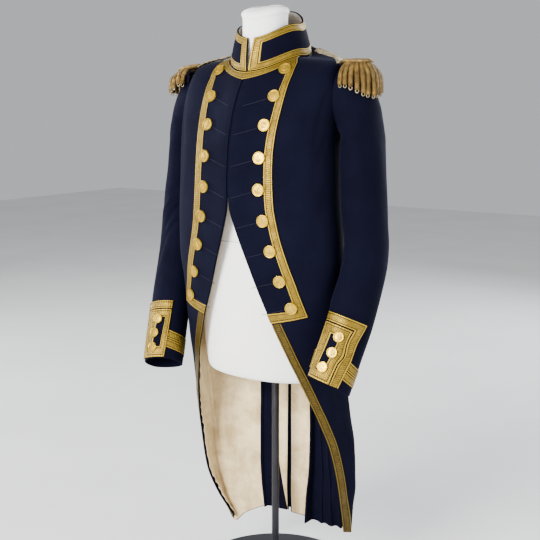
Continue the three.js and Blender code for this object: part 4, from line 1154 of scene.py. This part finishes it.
def build_cuffs():
    bands = FLAP_BANDS
    for side, hand in SIDES:
        flap = table_curves(FLAP_COLUMNS, FLAP_LINES[hand])
        top, low = FLAP_ROWS[hand]
        down = np.linspace(0, 1, 41)[:, None]
        across = np.linspace(0, 1, 41)[None, :]
        cloth_piece(f"cuff_flap_cloth_{hand}",
                    flap_surface(lerp(flap["outer"](down), flap["inner"](down), across), down, side,
                                 ON_CLOTH),
                    CLOTH, "navy_cloth", material("navy"), [f"cuff_flap_{hand}"])
        lace_piece(f"cuff_outer_lace_{hand}", flap_surface, side,
                   frame_line(flap["inner"], flap["outer"], 0.0, 1.0, False),
                   frame_line(flap["inner"], flap["gap"], bands["top"], 1.0, False), ON_LAPEL,
                   material("lace"),
                   [f"cuff_lace_{hand}"])
        buttons = [(row - top) / (low - top) for _, row in CUFF_BUTTONS[hand]]

        def scalloped(at):
            return flap["slot_out"](at) + sum(SCALLOP["depth"]
                                              * np.exp(-((at - button) / SCALLOP["width"]) ** 2)
                                              for button in buttons)

        outer = frame_line(flap["inner"], lambda at: flap["gap"](at) + INNER_LACE_GAP,
                           bands["second"], 1.0, True)
        inner = frame_line(flap["slot_in"], scalloped, bands["slot"], bands["end"], True)
        lace_piece(f"cuff_inner_lace_{hand}", flap_surface, side, outer, inner, ON_LAPEL,
                   material("lace"))
        share = np.linspace(0, 1, 91)
        drop = RING_DROP * np.sin(math.pi * share) ** 0.8
        rows = CUFF_RINGS[hand]
        for number in (0, 1):
            lines = []
            for row in rows[2 * number:2 * number + 2]:
                at = np.clip((row - top) / (low - top), 0, 1)
                lines.append(np.stack([lerp(flap["inner"](at) + 1, 360 + flap["outer"](at) - 1,
                                            share), row + drop], -1))
            lace_piece(f"cuff_ring_lace_{hand}_{number + 1}", sleeve_surface, side, *lines, SEAM,
                       material("lace"),
                       [f"cuff_ring_{hand}"] if number == 0 else ())


# ---- Collar -------------------------------------------------------------------------------------
def build_collar():
    around = np.linspace(0.15, 359.85, 281)[None, :]
    share = np.linspace(0, 1, 27)[:, None]
    cloth_piece("collar_cloth", collar_surface(around, share * collar_height(around), 1),
                COLLAR_WALL, "navy_cloth",
                material("navy"), ["collar"])
    low, margin, width = COLLAR_TRIM["low"], COLLAR_TRIM["edge"], COLLAR_TRIM["width"]
    near = (COLLAR_TRIM["front"], COLLAR_TRIM["front"])

    def line(inset, ends):
        """A closed line round the collar's four edges, drawn in by an inset and its ends."""
        first, last = ends[0], 360 - ends[1]
        side_levels = np.linspace(0, 1, 24, endpoint=False)
        front = lerp(low + inset, collar_height(first) - margin - inset, side_levels)
        across = np.linspace(first, last, 200, endpoint=False)
        top = np.stack([across, collar_height(across) - margin - inset], -1)
        other = lerp(collar_height(last) - margin - inset, low + inset, side_levels)
        under = np.linspace(last, first, 201)
        return np.concatenate([np.stack([0 * front + first, front], -1), top,
                               np.stack([0 * other + last, other], -1),
                               np.stack([under, 0 * under + low + inset], -1)])

    lace_piece("collar_lace_band", collar_surface, 1, line(0, near),
               line(width, COLLAR_TRIM["front_end"]), SEAM,
               material("lace"), ["collar_lace"])
    seam = np.linspace(1.5, 358.5, 240)
    piping = collar_surface(seam, 0 * seam - COLLAR_PIPING["below"], 1, -COLLAR_PIPING["inward"])
    mesh_piece("collar_seam", *tube(piping, COLLAR_PIPING["radius"], 10), "navy_cloth",
               material("navy"))
    inner_around = np.linspace(1.2, 358.8, 241)[None, :]
    level = lerp(low, collar_height(inner_around) - 0.8, np.linspace(0, 1, 23)[:, None])
    lining = collar_surface(inner_around, level, 1, -COLLAR_WALL - SEAM)
    cloth_piece("collar_lining_cloth", lining, LINING, "grey_lining", material("grey"),
                ["collar_lining"])


# ---- Buttons ------------------------------------------------------------------------------------
def button_model(radius, height):
    """A gilt button at the origin: domed disc, roped rim and a plain anchor."""
    profile = [(0, 0), (radius, 0), (radius, height * 0.42), (radius * 0.95, height * 0.72),
               (radius * 0.86, height * 0.62), (radius * 0.6, height * 0.72),
               (radius * 0.3, height * 0.78), (0, height * 0.8)]
    turn = np.linspace(0, 2 * math.pi, 40, endpoint=False)
    rings = [np.stack([r * np.cos(turn), r * np.sin(turn), 0 * turn + z], -1) for r,
             z in profile[1:-1]]
    parts = [ring_shape(rings, [0, 0, 0], [0, 0, profile[-1][1]])]
    circle = np.linspace(0, 2 * math.pi, 96, endpoint=False)
    rim_radius = radius * 0.9
    rim = np.stack([rim_radius * np.cos(circle), rim_radius * np.sin(circle),
                    0 * circle + height * 0.74], -1)
    parts.append(tube(rim, radius * 0.075, 8, twist=4 / (radius * 0.075), ridges=2,
                      depth=radius * 0.02, closed=True))
    face = np.array([0, 0, height * 0.8])
    shank = np.array([[0, -0.45, 0], [0, 0.42, 0]]) * radius + face
    stock = np.array([[-0.26, 0.26, 0], [0.26, 0.26, 0]]) * radius + face
    swing = np.radians(np.linspace(200, 340, 13))
    arms = np.stack([0.42 * np.cos(swing), 0.42 * np.sin(swing) - 0.02, 0 * swing],
                    -1) * radius + face
    eye = np.radians(np.linspace(0, 360, 16, endpoint=False))
    ring = np.stack([0.1 * np.cos(eye), 0.1 * np.sin(eye) + 0.5, 0 * eye], -1) * radius + face
    parts += [tube(shank, radius * 0.06, 8), tube(stock, radius * 0.05, 8),
              tube(arms, radius * 0.06, 8),
              tube(ring, radius * 0.035, 6, closed=True)]
    return joined(parts)


def placed(model, centre, normal, spin):
    """Points of a model moved to a place, with its Z along the normal and turned about it."""
    points, faces = model
    up = np.array([0, 0, 1.0])
    tangent = unit(np.cross(up, normal)[None])[0]
    other = np.cross(normal, tangent)
    c, s = math.cos(spin), math.sin(spin)
    x_axis, y_axis = tangent * c + other * s, other * c - tangent * s
    return centre + points @ np.stack([x_axis, y_axis, normal]), faces


def sew_button(kind, number, model, surface, degrees, row, side, spin):
    """Sets a button on a surface, square to it."""
    base, tip = surface(degrees, row, side, 0.0), surface(degrees, row, side, BUTTON_SEAT)
    shape = placed(model, tip, unit((tip - base)[None])[0], spin)
    mesh_piece(f"{kind}_gilt_{number}", *shape, "gilt", material("gilt"), [f"{kind}_{number}"])


def build_buttons():
    lapel_button, cuff_button = button_model(**LAPEL_BUTTON), button_model(**CUFF_BUTTON)
    for side, hand in SIDES:
        for i, (height, x) in enumerate(LAPEL_BUTTONS):
            row = row_at_height(height, x)
            sew_button("lapel_button", f"{hand}_{i + 1}", lapel_button, coat_surface,
                       angle_at(x, row), row, side,
                       math.sin(i * 2.4 + side) * 0.5)
        for i, (degrees, row) in enumerate(CUFF_BUTTONS[hand]):
            sew_button("cuff_button", f"{hand}_{i + 1}", cuff_button, sleeve_surface, degrees, row,
                       side,
                       math.sin(i * 1.7 + side) * 0.6)


def build_buttonholes():
    """Worked buttonholes on the lapels: a silk cord that slopes down from each button but one."""
    for side, hand in SIDES:
        parts = []
        for height, x in LAPEL_BUTTONS[1:]:
            steps = np.linspace(0, 1, 26)
            line = []
            for step in steps:
                at_x = max(x - BUTTONHOLE["gap"] - BUTTONHOLE["length"] * step,
                           BUTTONHOLE["nearest"])
                row = row_at_height(height - BUTTONHOLE["lower"] - BUTTONHOLE["fall"] * step, at_x)
                line.append(coat_surface(angle_at(at_x, row), row, side,
                                         ON_CLOTH + BUTTONHOLE["lift"]))
            parts.append(tube(np.array(line), BUTTONHOLE["cord"], 8, twist=5.0, ridges=2,
                              depth=0.1))
        mesh_piece(f"buttonholes_{hand}", *joined(parts), "navy_cloth", material("silk"))


# ---- Pleats -------------------------------------------------------------------------------------
PLEAT_TOP = 0.2  # rows below the lapel's end at which the pleats start
PLEAT_WALL = CLOTH * 0.8


def pleat_corners(hand, share):
    """Folds of a side's pleat at a share of its height, as (forward of the seam, inward) in mm."""
    if hand == "R":
        spread = lerp(3, 46, share)
        return [(-spread, 5.5), (-spread * 0.5, 6.5), (0, 8), (4, lerp(11, 15, share)), (9, 11),
                (10, 5.5)]
    deep, reach = lerp(9, 30, share), lerp(14, 112, share)
    corners = [(-1, 6), (0.8, deep), (6, deep), (7, 7)]
    for fold in range(3):
        at = 7 + (reach - 7) * (fold + 1) / 3
        corners += [(at - 0.24 * (reach - 7), 6.5), (at - 2, lerp(7.5, 11, share)), (at, 6)]
    return corners


def build_pleats():
    """Folds of cloth behind the side-back seam, deeper towards the hem."""
    rows = np.linspace(LAPEL_END + PLEAT_TOP, HEM, 70)
    for side, hand in SIDES:
        lines = []
        for row in rows:
            seam = float(COAT["seam"](row) - angle_for(SEAM / 2, COAT["seam"](row), row))
            corners = np.array(pleat_corners(hand, (row - rows[0]) / (HEM - rows[0])), float)
            path = path_between(corners, [8] * (len(corners) - 1))
            for _ in range(3):
                path[1:-1] = (path[:-2] + path[1:-1] + path[2:]) / 3
            sway = 0.8 * np.sin(row * 1.3 + path[:, 0] * 0.2)
            at = seam - angle_for(path[:, 0], seam, row)
            lines.append(coat_surface(at, np.full(len(at), row), side, -path[:, 1] - sway))
        cloth_piece(f"pleats_cloth_{hand}", np.array(lines), PLEAT_WALL, "navy_cloth",
                    material("navy"))


VENT = {"above": 0.6, "below": 0.15, "half": 9, "out": 1.3, "wall": 1.2}


def build_vent():
    """A strip of cloth that closes the centre vent, laid on the edges of both backs."""
    rows = np.linspace(LAPEL_END - VENT["above"], HEM - VENT["below"], 70)[:, None]
    x = np.linspace(-VENT["half"], VENT["half"], 13)[None, :]
    points = coat_surface(180 - angle_at(np.abs(x), rows), rows, 1, SEAM + VENT["out"])
    points[..., 0] = np.broadcast_to(x, points.shape[:2])
    cloth_piece("vent_underlap", points, VENT["wall"], "navy_cloth", material("navy"))


# ---- Epaulettes ---------------------------------------------------------------------------------
def pad_height(x, hand):
    return PAD["top"][hand] - PAD["thick"] - (x - PAD["x"]) * PAD["slope"][hand]


def pad_line(scale, height, hand, count=96):
    turn = np.linspace(0, 2 * math.pi, count, endpoint=False)
    x = PAD["x"] + PAD["long"] * PAD_SIZE * scale * np.cos(turn)
    return np.stack([x, PAD["y"] + PAD["wide"] * PAD_SIZE * scale * np.sin(turn),
                     pad_height(x, hand) + height], -1)


def mirror(shape, side):
    points, faces = shape
    return points * np.array([side, 1, 1]), faces


def pad_shape(hand):
    """Padded end of an epaulette, as closed rings."""
    rings = [pad_line(scale, height, hand) for scale, height in PAD_PROFILE]
    return ring_shape(rings, rings[0].mean(0), rings[-1].mean(0))


def strap_surface(across, step, side, out=0.0):
    """Point of an epaulette's strap: across from -1 to 1, step from the collar to the pad."""
    row = lerp(STRAP["start"], STRAP["end"], step)
    middle = lerp(STRAP["from"], STRAP["to"], step)
    out = out + lerp(STRAP["rise"], 3, step) * smoothstep(step, -0.1, 0.08)
    return coat_surface(middle + angle_for(STRAP["half"] * across, middle, row), row, side, out)


def fringe_shapes(hand, seed):
    """Coiled bullions that hang from the pad's rim, and the wire loops at their ends."""
    random = np.random.default_rng(seed)
    hang = FRINGE_HANG[hand]
    sweep = math.radians(FRINGE["sweep"])
    steps = np.linspace(0, 1, 90)
    bullions, loops = [], []
    for i in range(FRINGE["strands"]):
        turn = lerp(-sweep, sweep, (i + 0.5) / FRINGE["strands"])
        length = lerp(hang["short"], hang["long"],
                      max(math.cos(turn), 0)) * (1 + 0.02 * random.standard_normal())
        swing = lerp(hang["flare"], hang["rear"], max(math.sin(turn), 0) ** 2.5) + 4
        angle = turn + 0.03 * random.standard_normal() * steps
        out = swing * (1 - (1 - steps) ** 4)
        rim = PAD["x"] + PAD["long"] * FRINGE["root"] * math.cos(turn)
        path = np.stack([PAD["x"] + (PAD["long"] * FRINGE["root"] + out) * np.cos(angle),
                         PAD["y"] + (PAD["wide"] * FRINGE["root"] + out) * np.sin(angle),
                         pad_height(rim, hand) - SEAM - 2.5 - (length - 8.5) * steps], -1)
        end = np.where(steps > 0.965, 0.8, 1)
        radius = FRINGE["radius"] * (1 + 0.05 * np.sin(steps * 9 + i)) * end
        bullions.append(tube(path, radius, 14, twist=2 * math.pi / COIL_TURN["bullion"], ridges=1,
                             depth=0.4))
        eye = np.linspace(0, 2 * math.pi, 16, endpoint=False)
        flat = np.array([-math.sin(turn), math.cos(turn), 0])
        centre = path[-1] + [0, 0, -LOOP["drop"]]
        loops.append(tube(centre + LOOP["radius"]
                          * (np.cos(eye)[:, None] * flat + np.sin(eye)[:, None]
                             * np.array([0, 0, 1.0])),
                          LOOP["wire"], 6, closed=True))
    return joined(bullions), joined(loops)


def fringe_shade_sheet(hand, side):
    """Points of the cloth behind the bullions."""
    turn = np.radians(np.linspace(-FRINGE["sweep"], FRINGE["sweep"], 49))[None, :]
    down = np.linspace(0, 1, 13)[:, None]
    out = (FRINGE_HANG[hand]["flare"] - FRINGE_SHADE_SHEET["narrower"]) * (1 - (1 - down) ** 4)
    reach = FRINGE["root"]
    x = PAD["x"] + (PAD["long"] * reach + out) * np.cos(turn) - FRINGE_SHADE_SHEET["inward"]
    y = PAD["y"] + (PAD["wide"] * reach + out) * np.sin(turn)
    top = pad_height(PAD["x"] + PAD["long"] * reach * np.cos(turn), hand) - FRINGE_SHADE_SHEET["under"]
    return np.stack([x, y, top - (FRINGE_HANG[hand]["short"] - FRINGE_SHADE_SHEET["shorter"]) * down],
                    -1) * np.array([side, 1, 1])


def build_epaulettes():
    for side, hand in SIDES:
        steps = np.linspace(0, 1, 61)
        point = np.clip(0.3 + steps / 0.16, 0, 1)
        lace_piece(f"epaulette_strap_lace_{hand}", strap_surface, side,
                   np.stack([-point, steps], -1),
                   np.stack([point, steps], -1), STRAP["lift"], material("silver"),
                   [f"epaulette_strap_{hand}"],
                   wall=STRAP["wall"] - 0.4, slot="pale_bullion")
        pad = mesh_piece(f"epaulette_pad_gold_{hand}", *mirror(pad_shape(hand), side),
                         "gold_bullion",
                         material("bullion"), [f"epaulette_pad_{hand}"])
        rims = [tube(pad_line(scale, height, hand, 220), radius, 10,
                     twist=2 * math.pi / COIL_TURN["rim"], ridges=2, depth=0.25,
                     closed=True) for scale, height, radius in PAD_RIMS]
        mesh_piece(f"epaulette_rim_{hand}", *mirror(joined(rims), side), "pale_bullion",
                   material("rim"))
        bullions, loops = fringe_shapes(hand, 7 + side)
        mesh_piece(f"epaulette_bullions_{hand}", *mirror(bullions, side), "gold_bullion",
                   material("bullion"),
                   [f"epaulette_fringe_{hand}"])
        # The navy sheet inside the fringe paints shade into the gaps between the bullions.
        cloth_piece(f"fringe_shade_sheet_{hand}", fringe_shade_sheet(hand, side), FRINGE_SHADE_SHEET["wall"],
                    "navy_cloth",
                    material("navy"))
        mesh_piece(f"epaulette_loops_{hand}", *mirror(loops, side), "pale_bullion",
                   material("silver"))


# ---- Dress form and stand -----------------------------------------------------------------------
FORM_RIM = 7  # how far below its top the neck's seam runs
RIM_REACH = 2.5  # points this near the seam's height give its size
RIM_THREAD = 0.7


def build_form():
    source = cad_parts["dress_form"]
    form = source.copy()
    form.data = source.data.copy()
    for key in list(form.keys()):
        del form[key]
    form.parent = None
    bpy.context.scene.collection.objects.link(form)
    activate(form)
    bpy.ops.object.mode_set(mode="EDIT")
    bpy.ops.mesh.select_all(action="SELECT")
    bpy.ops.mesh.remove_doubles(threshold=0.00002)
    bpy.ops.mesh.tris_convert_to_quads(face_threshold=math.radians(60),
                                       shape_threshold=math.radians(60))
    bpy.ops.object.mode_set(mode="OBJECT")
    apply_modifier(form, "SUBSURF", levels=2, render_levels=2)
    smooth(45)
    finish_piece(form, "form_cover", "white_form", material("form"), ["dress_form"])
    points = np.array([vertex.co for vertex in form.data.vertices]) / MM
    level = points[:, 2].max() - FORM_RIM
    rim = points[np.abs(points[:, 2] - level) < RIM_REACH]
    half, middle = np.ptp(rim, axis=0) / 2, (rim.max(0) + rim.min(0)) / 2
    turn = np.linspace(0, 2 * math.pi, 128, endpoint=False)
    ring = np.stack([middle[0] + half[0] * np.cos(turn), middle[1] + half[1] * np.sin(turn),
                     0 * turn + level], -1)
    mesh_piece("form_rim_seam", *tube(ring, RIM_THREAD, 8, closed=True), "white_form",
               material("seam"))


def cylinder_piece(name, corners, sides, bevel, steps, nodes):
    """An upright cylinder that fills a box, with bevelled edges."""
    low, high = corners
    deselect()
    bpy.ops.mesh.primitive_cylinder_add(vertices=sides, radius=(high.x - low.x) / 2,
                                        depth=high.z - low.z,
                                        location=(0, 0, (low.z + high.z) / 2))
    piece = bpy.context.object
    bpy.ops.object.transform_apply(location=True)
    apply_modifier(piece, "BEVEL", width=bevel, segments=steps)
    smooth(40)
    finish_piece(piece, name, "dark_iron", material("iron"), nodes)


def build_stand():
    cylinder_piece("pole_painted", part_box("stand_pole"), 48, 0.0012, 3, ["stand_pole"])
    cylinder_piece("base_painted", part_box("stand_base"), 128, 0.003, 4, ["stand_base"])


# ---- Stage --------------------------------------------------------------------------------------
CAMERA = {"place": (1.1352, -1.6829, 1.047), "pitch": 9.94, "azimuth": 34, "yaw": 0.344,
          "lens": 64.65,
          "sensor": 36}

LIGHT_AIM = (0, -0.05, 0.75)
LIGHTS = (  # name, place, size, power and colour
    ("key", (-0.4, -3.3, 1.9), 1.6, 330, (1, 0.985, 0.96)),
    ("side", (-3.2, -0.5, 1.5), 1.4, 105, (0.95, 0.97, 1)),
    ("fill", (3.2, -0.3, 1.5), 1.8, 100, (0.95, 0.97, 1)),
    ("back", (0.4, 3.0, 2.0), 1.8, 110, (0.92, 0.95, 1)),
)
WORLD = {"colour": (0.86, 0.88, 0.92, 1), "strength": 0.6}
FLOOR = ((0.3, (0.72, 0.72, 0.71)), (0.7, (0.78, 0.78, 0.77)))


def area_light(name, place, size, power, colour):
    data = bpy.data.lights.new(name, "AREA")
    data.size = size
    data.energy = power
    data.color = colour
    lamp = bpy.data.objects.new(name, data)
    lamp.location = place
    lamp.rotation_euler = (Vector(LIGHT_AIM) - Vector(place)).to_track_quat("-Z", "Y").to_euler()
    bpy.context.scene.collection.objects.link(lamp)


def build_stage():
    deselect()
    bpy.ops.mesh.primitive_plane_add(size=14, location=(0, 0, 0))
    floor = bpy.context.object
    floor.name = "floor"
    s = Shade("pale_floor", Roughness=0.85, Specular_IOR_Level=0.2)
    place = s.place()
    floor.data.materials.append(s.finish(s.ramp(s.noise(place, 2), *FLOOR)))
    world = bpy.data.worlds.new("pale")
    bpy.context.scene.world = world
    world.use_nodes = True
    world.node_tree.nodes["Background"].inputs[0].default_value = WORLD["colour"]
    world.node_tree.nodes["Background"].inputs[1].default_value = WORLD["strength"]
    for light in LIGHTS:
        area_light(*light)
    data = bpy.data.cameras.new("camera")
    data.lens = CAMERA["lens"]
    data.sensor_width = CAMERA["sensor"]
    camera = bpy.data.objects.new("camera", data)
    camera.location = CAMERA["place"]
    camera.rotation_euler = (math.radians(90 - CAMERA["pitch"]), 0,
                             math.radians(CAMERA["azimuth"] + CAMERA["yaw"]))
    bpy.context.scene.collection.objects.link(camera)
    bpy.context.scene.camera = camera


# ---- Add-on -------------------------------------------------------------------------------------
def colour_property(name, description, default):
    return bpy.props.FloatVectorProperty(name=name, description=description, subtype="COLOR",
                                         size=3, min=0, max=1,
                                         default=default)


class TailCoatColours(bpy.types.PropertyGroup):
    """Colours of the coat's cloths, laces and metals, and of its form."""

    navy: colour_property("Blue cloth", "Colour of the wool broadcloth", (0.0011, 0.0012, 0.0052))
    cream: colour_property("Cream lining", "Colour of the skirt's lining", (0.86, 0.69, 0.40))
    grey: colour_property("Collar lining", "Colour of the worn collar lining", (0.40, 0.36, 0.30))
    gold: colour_property("Gold lace", "Colour of the woven lace", (0.29, 0.185, 0.011))
    gilt: colour_property("Gilt", "Colour of the buttons", (0.56, 0.36, 0.03))
    bullion: colour_property("Bullion", "Colour of the fringe's coiled wire", (0.175, 0.105, 0.022))
    silver: colour_property("Strap", "Colour of the epaulette's strap and rim", (0.40, 0.33, 0.19))
    white: colour_property("Dress form", "Colour of the form's cover", (0.97, 0.965, 0.95))
    iron: colour_property("Stand", "Colour of the stand's paint", (0.008, 0.008, 0.012))


def operator(idname, label, doc, build):
    """An operator that builds one piece or one group of like pieces."""

    def execute(self, context):
        build()
        return {"FINISHED"}

    return type("TAIL_COAT_OT_" + idname, (bpy.types.Operator,),
                {"bl_idname": "tail_coat." + idname, "bl_label": label, "__doc__": doc,
                 "execute": execute})


OPERATORS = (
    operator("stage", "Stage", "Adds the floor, the lights and the camera", build_stage),
    operator("form", "Dress form", "Covers the dress form", build_form),
    operator("stand", "Stand", "Makes the pole and the base", build_stand),
    operator("fronts", "Fronts and backs", "Cuts and hangs the body's panels", build_fronts),
    operator("pleats", "Pleats", "Folds the pleats behind the side-back seams", build_pleats),
    operator("vent", "Vent", "Closes the centre vent with a strip of cloth", build_vent),
    operator("linings", "Linings", "Lines the skirts", build_linings),
    operator("lapels", "Lapels", "Lays the lapels with their lace", build_lapels),
    operator("skirt_lace", "Skirt lace", "Sews the lace down the skirts' front edges",
             build_skirt_lace),
    operator("sleeves", "Sleeves", "Sets in the two-piece sleeves", build_sleeves),
    operator("cuffs", "Cuffs", "Makes the flaps, their lace and the cuff's rings", build_cuffs),
    operator("collar", "Collar", "Makes the standing collar, its lace and lining", build_collar),
    operator("buttons", "Buttons", "Sews on the gilt buttons", build_buttons),
    operator("buttonholes", "Buttonholes", "Works the buttonholes of the lapels",
             build_buttonholes),
    operator("epaulettes", "Epaulettes", "Makes the straps, pads and bullion fringes",
             build_epaulettes),
)


class TAIL_COAT_PT_panel(bpy.types.Panel):
    """Lists the coat's operators and colours."""

    bl_label = "Tail Coat"
    bl_idname = "TAIL_COAT_PT_panel"
    bl_space_type = "VIEW_3D"
    bl_region_type = "UI"
    bl_category = "Tail Coat"

    def draw(self, context):
        for kind in OPERATORS:
            self.layout.operator(kind.bl_idname)
        for name in TailCoatColours.__annotations__:
            self.layout.prop(context.scene.tail_coat_colours, name)


CLASSES = (TailCoatColours, *OPERATORS, TAIL_COAT_PT_panel)


def register():
    for kind in CLASSES:
        bpy.utils.register_class(kind)
    bpy.types.Scene.tail_coat_colours = bpy.props.PointerProperty(type=TailCoatColours)


def unregister():
    del bpy.types.Scene.tail_coat_colours
    for kind in reversed(CLASSES):
        bpy.utils.unregister_class(kind)


def main():
    register()
    for kind in OPERATORS:
        group, name = kind.bl_idname.split(".")
        getattr(getattr(bpy.ops, group), name)()


if __name__ == "__main__":
    main()
